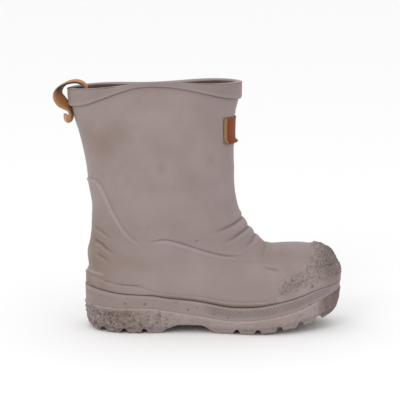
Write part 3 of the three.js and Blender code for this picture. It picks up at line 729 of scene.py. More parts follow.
def mottle_group() -> Tree:
    """Cloudy patches and fine specks, as in milled natural rubber."""
    nodes, (vector, scale), result = new_group("rubber_mottle", ("Vector", "Scale"), ("Clouds", "Specks"))
    broad = nodes.noise(vector, scale, 3.0, 0.55)
    fine = nodes.noise(vector, nodes.times(scale, 31.0), 2.0, 0.6)
    nodes.feed(result, {"Clouds": nodes.ramp(broad, 0.3, 0.7), "Specks": nodes.ramp(fine, 0.56, 0.74)})
    return nodes.tree


def pits_group() -> Tree:
    """Small pits and open bubbles in the skin, with a mask for painting shade in them."""
    nodes, (vector, scale, amount), result = new_group(
        "rubber_pits", ("Vector", "Scale", "Amount"), ("Height", "Mask"))
    near, chance = nodes.cells(vector, scale)
    hole = nodes.times(nodes.ramp(near, 0.08, 0.3, 1.0, 0.0), nodes.math("LESS_THAN", chance, amount))
    nodes.feed(result, {"Height": nodes.math("SUBTRACT", 1.0, hole), "Mask": hole})
    return nodes.tree


def grime_and_shade_group() -> Tree:
    """Dirt and painted shade in creases, and brown dust, broken up so that they look rubbed."""
    nodes, (vector, crease, dust), result = new_group(
        "crease_grime_and_shade", ("Vector", "Crease", "Dust"), ("Dark", "Brown"))
    broken = nodes.noise(vector, 420.0, 3.0, 0.6)
    patches = nodes.noise(vector, 38.0, 4.0, 0.6)
    # Dark is painted shade in creases, with dirt; Brown is dust.
    nodes.feed(result, {"Dark": nodes.times(crease, nodes.ramp(broken, 0.3, 0.52, 0.55, 1.0)),
                        "Brown": nodes.times(dust, nodes.ramp(patches, 0.3, 0.6, 0.3, 1.0))})
    return nodes.tree


def granules_group() -> Tree:
    """Coarse grains of ground rubber, some paler than the rest, and some darker in the hollows of the coarse
    relief as painted shade.
    """
    nodes, (vector, scale, rough), result = new_group(
        "rubber_granules", ("Vector", "Scale", "Rough"), ("Height", "Light", "Dark"))
    near, tint = nodes.cells(vector, scale)
    coarse = nodes.noise(vector, nodes.times(scale, 0.6), 3.0, 0.7)
    grain = nodes.ramp(near, 0.1, 0.75, 1.0, 0.0)
    grown = nodes.times(grain, nodes.ramp(tint, 0.1, 0.8, 0.25, 1.0))
    height = nodes.math("ADD", grown, nodes.times(coarse, 0.9))
    light = nodes.times(nodes.ramp(tint, 0.7, 0.92), grain)
    # Dark grains only in the low parts of the coarse relief: painted shade.
    dark = nodes.times(nodes.ramp(tint, 0.26, 0.1), nodes.ramp(coarse, 0.6, 0.42))
    for key, value in (("Height", height), ("Light", light), ("Dark", dark)):
        nodes.feed(result, {key: nodes.times(value, rough)})
    return nodes.tree


class Effects:
    """The shader groups that several finishes share."""

    def __init__(self) -> None:
        """Build each group once."""
        self.mottle = mottle_group()
        self.pits = pits_group()
        self.grime_and_shade = grime_and_shade_group()
        self.granules = granules_group()


def new_material(name: str) -> tuple[Material, Nodes, Node, Socket]:
    """A material with its node builder, its shader and the place on the object."""
    material = bpy.data.materials.new(name)
    material.use_nodes = True
    nodes = Nodes(material.node_tree)
    shader = material.node_tree.nodes["Principled BSDF"]
    place = nodes.add("ShaderNodeTexCoord").outputs["Object"]
    return material, nodes, shader, place


@dataclass(frozen=True)
class RubberFinish:
    """Natural rubber: warm grey, cloudy, finely pitted, with dirt and painted shade in its creases and pits,
    and painted highlights on its raised edges.
    """

    name: str
    base: Colour
    light: Colour
    brown: Colour
    dark: Colour
    roughness: float = 0.5
    mottle_scale: float = 34.0
    pit_scale: float = 190.0
    pit_share: float = 0.02
    pit_depth: float = 0.25
    grain_scale: float = 900.0
    grain_depth: float = 0.08
    granule_scale: float = 800.0
    granule_depth: float = 0.6
    granule_light: float = 0.85
    granule_dark: float = 0.75
    dust: float = 0.1
    knurled: bool = False
    knurl_depth: float = 0.8

    def material(self, effects: Effects) -> Material:
        """The finish as a material."""
        material, nodes, shader, place = new_material(self.name)
        mottle = nodes.group(effects.mottle, {"Vector": place, "Scale": self.mottle_scale})
        pits = nodes.group(effects.pits, {"Vector": place, "Scale": self.pit_scale, "Amount": self.pit_share})
        dust = nodes.math("ADD", nodes.mask("dirt"), self.dust)
        grime_and_shade = nodes.group(effects.grime_and_shade, {"Vector": place, "Crease": nodes.mask("crease"), "Dust": dust})
        grains = nodes.group(effects.granules,
                             {"Vector": place, "Scale": self.granule_scale, "Rough": nodes.mask("rough")})
        # The edge mask paints highlights; the pits and the dark crease coat paint shade, the crease coat with
        # dirt.
        colour = nodes.coats(
            self.base, (mottle["Clouds"], 0.3, self.light), (mottle["Specks"], 0.15, self.brown),
            (grime_and_shade["Brown"], 1.0, self.brown), (nodes.mask("edge"), 0.55, self.light),
            (grains["Light"], self.granule_light, self.light), (grains["Dark"], self.granule_dark, self.dark),
            (pits["Mask"], 0.5, self.dark), (grime_and_shade["Dark"], 1.0, self.dark))
        heights = [(nodes.noise(place, self.grain_scale, 3.0, 0.6), self.grain_depth),
                   (pits["Height"], self.pit_depth), (grains["Height"], self.granule_depth)]
        if self.knurled:
            knurl = self.knurl(nodes)
            # Painted highlight on the knurl's diamonds and painted shade in the grooves between them.
            groove = nodes.math("SUBTRACT", nodes.mask("knurl"), knurl)
            colour = nodes.coats(colour, (knurl, 0.55, self.light), (groove, 0.35, self.dark))
            heights.append((knurl, self.knurl_depth))
        rough = nodes.math("MULTIPLY_ADD", mottle["Clouds"], 0.1, self.roughness)
        rough = nodes.math("MULTIPLY_ADD", grime_and_shade["Dark"], 0.25, rough)
        nodes.feed(shader, {"Base Color": colour, "Roughness": rough, "Normal": nodes.bumps(*heights),
                            "Specular IOR Level": 0.35, "Sheen Weight": 0.08, "Sheen Roughness": 0.5})
        return material

    def knurl(self, nodes: Nodes) -> Socket:
        """Small diamonds in rows, from two crossed waves that the piece carries."""
        waves = [nodes.math("SINE", nodes.mask(key)) for key in ("knurl_left", "knurl_right")]
        diamonds = nodes.math("MULTIPLY_ADD", nodes.math("ADD", *waves), 0.25, 0.5)
        return nodes.times(diamonds, nodes.mask("knurl"))


@dataclass(frozen=True)
class LeatherFinish:
    """Vegetable-tanned leather with fine grain, pale rubbed edges and painted highlights, and dark stains and
    painted shade.
    """

    name: str
    face: Colour
    worn: Colour
    edge: Colour
    roughness: float = 0.5
    # Dark colour for stains and for painted shade.
    stain_and_shade: Colour = tone(52, 26, 18)
    mottle_scale: float = 110.0
    grain_scale: float = 1900.0
    grain_depth: float = 0.1
    ripple_scale: float = 500.0
    ripple_depth: float = 0.15

    def material(self, effects: Effects) -> Material:
        """The finish as a material."""
        material, nodes, shader, place = new_material(self.name)
        mottle = nodes.group(effects.mottle, {"Vector": place, "Scale": self.mottle_scale})
        colour = nodes.coats(self.face, (mottle["Clouds"], 0.6, self.worn),
                             (nodes.mask("edge"), 1.0, self.edge), (nodes.mask("crease"), 1.0, self.stain_and_shade))
        cells = nodes.add("ShaderNodeTexVoronoi", {"Vector": place, "Scale": self.grain_scale},
                          feature="DISTANCE_TO_EDGE")
        normal = nodes.bumps((nodes.ramp(cells.outputs["Distance"], 0.0, 0.25), self.grain_depth),
                             (nodes.noise(place, self.ripple_scale, 3.0), self.ripple_depth))
        rough = nodes.math("MULTIPLY_ADD", mottle["Specks"], 0.2, self.roughness)
        nodes.feed(shader, {"Base Color": colour, "Roughness": rough, "Normal": normal,
                            "Specular IOR Level": 0.25})
        return material


@dataclass(frozen=True)
class LiningFinish:
    """Brown cotton jersey, knitted finely."""

    name: str
    yarn: Colour
    gap: Colour
    rows_per_metre: float = 900.0
    mottle_scale: float = 60.0
    stitch_depth: float = 0.3
    fuzz_scale: float = 2600.0
    fuzz_depth: float = 0.12

    def material(self, effects: Effects) -> Material:
        """The finish as a material."""
        material, nodes, shader, place = new_material(self.name)
        around = nodes.math("SINE", nodes.times(nodes.mask("around"), math.tau))
        height = nodes.add("ShaderNodeSeparateXYZ", {0: place}).outputs["Z"]
        rows = nodes.math("SINE", nodes.times(height, self.rows_per_metre * math.tau))
        stitch = nodes.math("MULTIPLY_ADD", nodes.times(around, rows), 0.5, 0.5)
        mottle = nodes.group(effects.mottle, {"Vector": place, "Scale": self.mottle_scale})
        colour = nodes.coats(self.gap, (stitch, 0.7, self.yarn), (mottle["Clouds"], 0.25, self.gap))
        fuzz = nodes.noise(place, self.fuzz_scale)
        normal = nodes.bumps((stitch, self.stitch_depth), (fuzz, self.fuzz_depth))
        nodes.feed(shader, {"Base Color": colour, "Normal": normal, "Roughness": 0.95, "Sheen Weight": 0.3,
                            "Specular IOR Level": 0.15})
        return material


UPPER_FINISH = RubberFinish(
    "moulded_rubber", tone(136, 121, 119), tone(162, 148, 147), tone(116, 96, 80), tone(66, 52, 47),
    pit_scale=300.0, pit_share=0.006)
CAP_FINISH = RubberFinish(
    "pebbled_rubber", tone(136, 122, 119), tone(192, 178, 173), tone(104, 88, 76), tone(60, 48, 43),
    roughness=0.62, pit_scale=300.0, pit_share=0.03, grain_scale=1300.0, grain_depth=0.15, granule_depth=0.9,
    granule_dark=0.5)
BAND_FINISH = RubberFinish(
    "collar_rubber", tone(128, 115, 112), tone(158, 144, 140), tone(118, 98, 84), tone(70, 55, 50),
    pit_share=0.0)
MIDSOLE_FINISH = RubberFinish(
    "midsole_rubber", tone(138, 124, 123), tone(168, 154, 150), tone(116, 97, 86), tone(62, 50, 45),
    roughness=0.56, pit_scale=260.0, pit_share=0.05, knurled=True)
OUTSOLE_FINISH = RubberFinish(
    "outsole_rubber", tone(143, 128, 126), tone(190, 176, 168), tone(108, 90, 78), tone(58, 46, 41),
    roughness=0.66, pit_scale=300.0, pit_share=0.08, grain_scale=1100.0, grain_depth=0.2, granule_scale=620.0,
    granule_depth=1.1, dust=0.0)
STRAP_FINISH = LeatherFinish("strap_leather", tone(190, 120, 72), tone(200, 136, 88), tone(160, 122, 90))
LABEL_FINISH = LeatherFinish("label_leather", tone(124, 54, 22), tone(138, 66, 30), tone(142, 108, 70), 0.6)
LINING_FINISH = LiningFinish("lining_jersey", tone(126, 96, 82), tone(70, 48, 40))


class Relief:
    """What is moulded and worn into the upper's face: its height, the painted shade and dirt in its creases and
    the painted highlights on its edges.
    """

    def __init__(self, form: np.ndarray) -> None:
        """Start with a plain face on the form."""
        self.x, self.z = form[..., 0], form[..., 2]
        self.along = along_sole(self.x)
        self.above = self.z - joint_z(self.x)
        self.out, self.crease, self.edge = (np.zeros(self.x.shape) for _ in range(3))

    def soil_and_shade(self, amount: np.ndarray) -> None:
        """Add painted shade and dirt in a crease."""
        self.crease = np.maximum(self.crease, amount)

    def paint_highlight(self, amount: np.ndarray) -> None:
        """Paint a highlight along an edge."""
        self.edge = np.maximum(self.edge, amount)


@dataclass
class Shell:
    """The moulded upper, from the sole joint to the collar, with its lining."""

    around: int = 330
    foot_spans: tuple[tuple[int, int, int], ...] = ((0, 2, 40), (2, 6, 50), (6, 11, 60))
    shaft_rings: int = 90
    inner_rings: int = 12
    lining_around: int = 220
    lining_rings: int = 70
    lining_gap: float = 0.15
    lining_thickness: float = 0.6
    dents: Layers = ((26.0, 3.0, 0.35), (9.0, 7.0, 0.1225))
    counter_bead: float = 0.9
    counter_step: float = 0.5
    panel_step: float = 0.9
    ledge_out: float = 1.2
    frame_out: float = 0.4
    rim_drop: float = 1.9
    lip_thins: tuple[float, float] = (0.01, 0.06)
    lip_ends: tuple[float, float] = (0.68, 0.72)
    heel_ends: tuple[float, float] = (0.06, 0.11)
    frame_clear: float = 1.2
    frame_per_turn: float = 33.0
    heel_dirt_fades: tuple[float, float] = (60, 110)
    stains: tuple[tuple[float, float, float, float], ...] = (
        (-15, 145, 16, 0.5), (27, 126, 3, 0.5), (64, 132, 3, 0.45), (105, 62, 5, 0.5), (118, 66, 4, 0.6),
        (5, 52, 14, 0.35), (78, 50, 12, 0.2))
    turns: np.ndarray = field(init=False)

    def __post_init__(self) -> None:
        """Space the turns evenly along the foot, closer together at the flex grooves."""
        fine = np.linspace(0, 2 * math.pi, 4001)
        way = FORM.point(5.0, fine)
        x = (way[1:, 0] + way[:-1, 0]) / 2
        closer = 1 + 0.9 * bell(x + 18, 22) + 0.7 * bell(x - 84, 26)
        reached = np.concatenate([[0], np.cumsum(np.linalg.norm(np.diff(way, axis=0), axis=1) * closer)])
        self.turns = np.interp(np.arange(self.around) * reached[-1] / self.around, reached, fine)

    def rows(self) -> np.ndarray:
        """Rows of the outer rings."""
        parts = [np.linspace(low, high, count, endpoint=False) for low, high, count in self.foot_spans]
        return np.concatenate([*parts, np.linspace(self.foot_spans[-1][1], TOP_ROW, self.shaft_rings)])

    def lip(self, face: Relief) -> None:
        """The raised lip along the joint, thicker at the heel, and gone under the toe cap."""
        size = HEEL_LIP_OUT + (RAND_OUT - HEEL_LIP_OUT) * ease(*self.lip_thins, face.along)
        size = size * (1 - ease(*self.lip_ends, face.along))
        over = face.above - side_line("rand", face.x) * RAND_HEIGHT
        past_heel = ease(*self.heel_ends, face.along)
        face.out += size * (1 - ease(-0.3, 0.7, over)) * ease(-0.4, 0.6, face.above)
        # Painted shade and dirt in the line above the lip and along the joint, and a painted highlight along
        # the lip's top.
        face.soil_and_shade(0.75 * bell(over - 0.6, 0.4) * past_heel * (1 - ease(0.17, 0.3, face.along)))
        face.soil_and_shade(0.3 * bell(over - 0.6, 0.5) * (size > 0.2) * past_heel)
        face.soil_and_shade(0.35 * bell(face.above, 0.4) * (1 - fused(face.x)))
        face.paint_highlight(0.7 * bell(over + 0.5, 0.6) * (size > 0.2))

    def counter(self, face: Relief) -> None:
        """The heel counter's step, with a bead along its edge."""
        d, share, height = near_line(COUNTER_EDGE, face.x, face.z)
        fade, heel = 1 - ease(0.75, 1.0, share), face.along < 0.3
        low = np.where(face.z > TOE_HEIGHT, 1 + (face.z - TOE_HEIGHT) / (BOOT_HEIGHT - TOE_HEIGHT),
                       face.z / TOE_HEIGHT)
        face.out += self.counter_step * fade * (1 - ease(-0.6, 0.6, height)) * heel * ease(0.8, 1.08, low)
        bead = bell(d, 1.1) * fade
        face.out += self.counter_bead * bead * heel
        # A painted highlight along the bead, and painted shade and dirt just above it.
        face.paint_highlight(0.8 * bead)
        face.soil_and_shade(0.2 * bell(height - 1.9, 0.7) * fade * (height > 0))

    def panel(self, face: Relief) -> None:
        """The step of the lower side panel, fading at both its ends."""
        d, share, height = near_line(PANEL_EDGE, face.x, face.z)
        fade = ease(0.02, 0.2, share) * (1 - ease(0.78, 1.0, share))
        face.out += self.panel_step * fade * (1 - ease(-0.7, 0.5, height)) * (1 - ease(6, 18, d))
        # Painted shade and dirt along the step's edge, and a painted highlight just below it.
        face.soil_and_shade(0.6 * fade * bell(height - 0.8, 0.5) * (d < 4))
        face.paint_highlight(0.7 * fade * bell(height + 1.2, 0.9) * (d < 4))

    def ledge(self, face: Relief) -> None:
        """The short ledge for kicking the boot off."""
        d, share, _ = near_line(LEDGE_EDGE, face.x, face.z)
        ledge = bell(d, 1.5) * (1 - ease(0.8, 1.0, share))
        face.out += self.ledge_out * ledge
        # A painted highlight along the ledge.
        face.paint_highlight(ledge)

    def grooves(self, face: Relief) -> None:
        """The flex grooves, each with a soft roll on both its sides."""
        for groove in GROOVES:
            d, share, height = near_line(groove.path, face.x, face.z)
            fade = (1 - ease(0.35, 1.0, share)) * ease(-0.12, 0.08, share)
            rolls = (bell(height - 3.0, 1.8) + bell(height + 3.0, 1.8)) * (d < 8)
            face.out += groove.depth * fade * (groove.roll * rolls - bell(d, groove.width * 1.3))
            # Painted shade and dirt in the groove, and a painted highlight on the roll below it.
            face.soil_and_shade(fade * groove.dark * bell(d, 0.75))
            face.paint_highlight(0.4 * fade * bell(height + 2.4, 1.0) * (d < 6))

    def label_frame(self, face: Relief) -> None:
        """The low rubber frame round the label."""
        across = np.where(self.turns > math.pi, self.turns - 2 * math.pi, self.turns)[None, :]
        side = (np.abs(across) - LabelPatch.spread - 0.05) * self.frame_per_turn
        up = np.abs(face.z - float(level_z(LabelPatch.middle))) - LabelPatch.height / 2 - self.frame_clear
        face.out += self.frame_out * bell(np.maximum(side, up) - 0.6, 1.5)

    def dirt(self, form: np.ndarray, outer: np.ndarray) -> np.ndarray:
        """Brown dirt at the heel and above the lip, and the stains on the shaft and the vamp."""
        x, y, z = np.moveaxis(form, -1, 0)
        stains = [amount * bell(np.hypot(x - at, z - up), size) for at, up, size, amount in self.stains]
        heel = bell(along_sole(outer[..., 0]), 0.11) * (1 - ease(*self.heel_dirt_fades, outer[..., 2]))
        along = along_sole(x)
        lip = bell(z - joint_z(x) - 1.6, 1.4) * ease(0.2, 0.35, along) * (1 - ease(0.62, 0.74, along))
        return np.maximum(0.9 * heel + np.max(stains, axis=0) * (y < 12), 0.9 * lip)

    def build(self) -> tuple[Piece, Piece]:
        """The upper and its lining."""
        rows, turns = self.rows()[:, None], self.turns[None, :]
        form = FORM.point(rows, turns)
        face = Relief(form)
        for detail in (self.lip, self.counter, self.panel, self.ledge, self.grooves, self.label_frame):
            detail(face)
        # A broad painted highlight on the lower side of the foot, making it paler.
        face.paint_highlight(0.5 * bell(face.along - 0.35, 0.3) * bell(face.z - 42, 14))
        quiet = ease(0.0, 1.0, rows) * (1 - ease(TOP_ROW - 1.2, TOP_ROW - 0.4, rows))
        outer = FORM.offset(rows, turns, face.out + layered(form, self.dents) * quiet)
        inner = FORM.offset(np.linspace(TOP_ROW, 0, self.inner_rings)[:, None], turns, -WALL)
        for rim in (outer[-1], inner[0]):
            rim[:, 2] -= self.rim_drop
        for foot in (outer[0], inner[-1]):
            foot[:, 2] = joint_z(foot[:, 0]) + FIT
        masks = {"crease": np.clip(face.crease, 0, 1), "edge": np.clip(face.edge, 0, 1),
                 "dirt": self.dirt(form, outer), "rough": np.zeros(face.x.shape)}
        points = np.concatenate([outer, inner])
        upper = make_piece("upper_shell", points, loop_faces(len(points), self.around),
                           with_back(masks, self.inner_rings))
        return upper, self.lining()

    def lining(self) -> Piece:
        """The knitted lining that is bonded inside the upper."""
        turns = even_turns(self.lining_around)[None, :]
        rows = np.linspace(0.15, TOP_ROW - 0.14, self.lining_rings)[:, None]
        outer = FORM.offset(rows, turns, -WALL - self.lining_gap)
        inner = FORM.offset(rows, turns, -WALL - self.lining_gap - self.lining_thickness)
        inner += FORM.normal(rows, turns) * layered(inner, ((6.0, 5.0, 0.12),))[..., None]
        points = np.concatenate([outer, inner[::-1]])
        wales = np.broadcast_to(np.arange(self.lining_around) * 1.0, points.shape[:2])
        return make_piece("lining", points, loop_faces(*points.shape[:2]), {"around": wales})


@dataclass
class ToeCap:
    """The rough toe cap with its bumper."""

    columns: int = 210
    rings: int = 110
    pebbles: Layers = ((1.25, 2.0, 0.3), (4.5, 9.0, 0.3))
    edge_thickness: float = 0.1
    sunk: float = 0.4
    reach: float = 1.4
    crowding: float = 1.35
    top_row: float = 7.0

    def edge_row(self, turn: np.ndarray) -> np.ndarray:
        """Row at which each turn crosses the cap's edge line."""
        levels, places = zip(*CAP_EDGE)
        edge_z, edge_x = level_z(levels), sole_x(places)
        low, high = np.zeros(np.shape(turn)), np.full(np.shape(turn), self.top_row)
        for _ in range(HALVINGS):
            middle = (low + high) / 2
            p = FORM.point(middle, turn)
            inside = p[..., 0] > np.interp(p[..., 2], edge_z, edge_x)
            low, high = np.where(inside, middle, low), np.where(inside, high, middle)
        return low

    def build(self) -> Piece:
        """The cap as a closed shell over the upper."""
        probe = np.linspace(-self.reach, self.reach, 2801)
        held = probe[FORM.point(0.0, probe)[:, 0] > float(sole_x(CAP_EDGE[0][1]))]
        spread = np.linspace(-1, 1, self.columns)
        spread = np.sign(spread) * (1 - (1 - np.abs(spread)) ** self.crowding)
        turns = ((held[0] + held[-1]) / 2 + spread * (held[-1] - held[0]) / 2)[None, :]
        rows = np.linspace(0, 1, self.rings)[:, None] * np.maximum(self.edge_row(turns), 0.03)
        form = FORM.point(rows, turns)
        x, z = form[..., 0], form[..., 2]
        above, along, level = z - joint_z(x), along_sole(x), z / TOE_HEIGHT
        gap, _, _ = near_line([(a, u) for u, a in CAP_EDGE], x, z)
        ragged = noise_field(form, 3.2, 11.0)
        bumper = (1 - ease(BUMPER_LEVEL - 0.02, BUMPER_LEVEL + 0.035, level)) * ease(0.84, 0.95, along)
        full = CAP_THICKNESS + (BUMPER_THICKNESS - CAP_THICKNESS) * bumper
        thick = self.edge_thickness + (full - self.edge_thickness) * ease(-0.4, 4.5, gap + 0.8 * ragged)
        zone = ease(4.0, 8.5, above + layered(form, ((5.0, 21.0, 1.6),))) * ease(0.0, 3.0, gap + ragged)
        rough = layered(form, self.pebbles) * (0.15 + 0.85 * zone)
        outer = FORM.offset(rows, turns, FIT * ease(0.0, 3.0, gap) + thick + rough * ease(0.0, 2.0, gap))
        inner = FORM.offset(rows, turns, -self.sunk)
        for foot in (outer[0], inner[0]):
            foot[:, 2] = joint_z(foot[:, 0]) + FIT
        # Painted shade along the bumper's step and the joint, and pits painted dark as shade.
        step_line = bell(level - BUMPER_LEVEL - 0.035, 0.012) * bumper.max(axis=0)[None, :]
        creases = (0.45 * step_line * ease(-0.3, 0.2, ragged), 0.7 * bell(above, 0.6), 0.9 * spots(form))
        dirt = np.clip(0.1 + ease(0.86, 0.98, along) * (0.4 + 0.6 * ease(44, 54, z)), 0, 1)
        masks = {"crease": np.max(creases, axis=0), "dirt": dirt, "edge": np.zeros(x.shape), "rough": zone,
                 "crumbs": zone}
        faces = plate_faces(self.rings, self.columns)
        return make_solid("toe_cap_rough", np.concatenate([outer, inner]), faces, with_back(masks, self.rings))


class RingStack:
    """Rings of points with their masks, piled up into a closed piece."""

    def __init__(self) -> None:
        """Start with no rings."""
        self.rings: list[np.ndarray] = []
        self.masks: dict[str, list[np.ndarray]] = {}

    def add(self, ring: np.ndarray, **masks: object) -> None:
        """Add a ring with its masks, each one value or one for each point."""
        self.rings.append(ring)
        for key, value in masks.items():
            self.masks.setdefault(key, []).append(np.broadcast_to(value, len(ring)))

    def solid(self, name: str, loop: bool = False) -> Piece:
        """The piece, as a loop of rings or as a pile with a strip of faces over either end."""
        faces = (loop_faces if loop else slab_faces)(len(self.rings), len(self.rings[0]))
        masks = {key: np.stack(values) for key, values in self.masks.items()}
        return make_solid(name, np.stack(self.rings), faces, masks)


@dataclass
class CollarBand:
    """The soft band of rubber that is rolled over the collar."""

    around: int = 420
    face_rings: int = 14
    rim_rings: int = 11
    rounding: float = 1.3
    swell: float = 0.25
    waves: Layers = ((14.0, 4.0, 0.18),)

    def build(self) -> Piece:
        """The band as a closed ring: up its outer face, over the rim and down inside."""
        turns = even_turns(self.around)
        top = FORM.point(float(TOP_ROW), turns)
        edge_z = level_z(through(BAND_EDGE, (top[:, 0] + HEEL_BACK) / SHAFT_DEPTH)) + collar_rise(turns)
        low = FORM.row_at_height(turns, edge_z, TOP_ROW - 4)
        wave = layered(top, self.waves)
        stack = RingStack()

        def add(row: object, out: object, down: float = 0.0, edge: float = 0.0, crease: float = 0.0) -> None:
            """Add a ring at a row, a distance outside the form and below it."""
            points = FORM.offset(row, turns, out)
            points[:, 2] -= down
            stack.add(points, edge=edge, crease=crease, dirt=0.05, rough=0.0)

        # Painted shadow under the band's lower edge.
        add(low, FIT * 0.5, crease=1.0)
        add(low, BAND_OUT - 1.2, crease=1.0)
        for share in np.linspace(0, 1, self.face_rings):
            full = math.sin(math.pi * share)
            lip = 0.3 * bell(share - 0.12, 0.08) - 0.35 * bell(share, 0.06)
            row = low + (TOP_ROW - low) * (0.02 + 0.94 * share)
            # Painted highlights on the lip near the lower edge and towards the rim.
            add(row, BAND_OUT - 0.3 + lip + (self.swell + wave) * full,
                edge=0.7 * bell(share - 0.1, 0.07) + 0.8 * ease(0.75, 1.0, share))
        rim = float(TOP_ROW)
        # Painted highlights over the rounded rim, and painted shade inside it.
        for angle in np.radians(np.linspace(12, 168, self.rim_rings)):
            reach = math.copysign(abs(math.cos(angle)) ** 0.75, math.cos(angle)) * (BAND_OUT + WALL) / 2
            add(rim, (BAND_OUT - WALL) / 2 + reach, self.rounding * (1 - math.sin(angle) ** 0.8), edge=1.0)
        add(rim, -WALL - 0.25, 1.25, edge=0.5)
        add(rim, -WALL - 0.1, 1.6, crease=0.8)
        add(rim, -WALL + 0.4, 1.7)
        add(rim, FIT * 0.5, 1.5)
        return stack.solid("collar_band_rolled", loop=True)


def sole_ring(turns: np.ndarray, out: float, tuck: float,
              height: Callable[[np.ndarray], np.ndarray]) -> np.ndarray:
    """A ring of the sole's side.

    Args:
        turns: turns of the ring's points.
        out: distance outside the upper's lower edge, as a share of the ledge.
        tuck: how far it draws in under the nose, as a share of the ledge.
        height: gives the height at a place along the boot.

    Returns:
        The ring's points.
    """
    noseward = np.maximum(np.cos(turns), 0) ** 4
    points = FORM.sole_outline(turns, (out - tuck * noseward) * SOLE_LEDGE)
    points[:, 2] = height(points[:, 0])
    return points


@dataclass
class Midsole:
    """The foxing between the upper and the outsole, with its knurled edge.

    Its side is a list of shares of the way down and how far each stands out, as a share of the ledge.
    """

    around: int = 640
    side: Line = (
        (1.0, 0.93), (0.96, 0.96), (0.9, 0.97), (0.83, 0.975), (0.75, 0.98), (0.67, 0.98), (0.59, 0.985),
        (0.51, 0.99), (0.43, 1.0), (0.36, 1.01), (0.28, 1.03), (0.2, 1.08), (0.12, 1.12), (0.06, 1.08),
        (0.02, 0.97), (0.0, 0.8))
    above_ridge: float = 0.3
    worn: Layers = ((5.0, 6.0, 0.22), (18.0, 1.0, 0.3))
    knurl_pitch: float = 2.3
    knurl_top: tuple[float, float] = (0.08, 0.16)
    knurl_bottom: tuple[float, float] = (0.6, 0.78)
    knurl_start: tuple[float, float] = (0.42, 0.5)
    knurl_end: tuple[float, float] = (0.93, 0.98)

    def build(self) -> Piece:
        """The midsole as a closed slab."""
        turns = even_turns(self.around)
        outwards = FORM.normal(0.0, turns) * np.array([1, 1, 0])
        stack = RingStack()
        for drop, out in self.side:
            ring = sole_ring(turns, out, 0.0,
                             lambda x: joint_z(x) + (ridge_z(x) - self.above_ridge - joint_z(x)) * drop)
            along = along_sole(ring[:, 0])
            ring = ring + outwards * (layered(ring, self.worn) * (drop > 0.05))[:, None]
            reached = np.concatenate([[0], np.cumsum(np.linalg.norm(np.diff(ring[:, :2], axis=0), axis=1))])
            waves = [(reached + side * ring[:, 2]) * math.tau / self.knurl_pitch for side in (1, -1)]
            band = ease(*self.knurl_top, drop) * (1 - ease(*self.knurl_bottom, drop))
            strip = band * ease(*self.knurl_start, along) * (1 - ease(*self.knurl_end, along))
            toe = ease(0.95, 1.0, along)
            # Painted shade and dirt along the joint line, pits painted dark as shade, and a painted highlight
            # along the top of the side's bulge.
            line = 0.5 * bell(drop, 0.04) * (1 - fused(ring[:, 0])) * (0.4 + 0.6 * ease(0.3, 0.5, along))
            stack.add(ring, crease=np.maximum(line, 0.9 * spots(ring)), rough=0.06,
                      edge=(1 - toe) * 0.5 * bell(drop - 0.13, 0.06),
                      dirt=0.1 + 0.3 * bell(along, 0.25) + 0.5 * toe,
                      knurl=strip, knurl_left=waves[0], knurl_right=waves[1])
        return stack.solid("midsole_foxing")


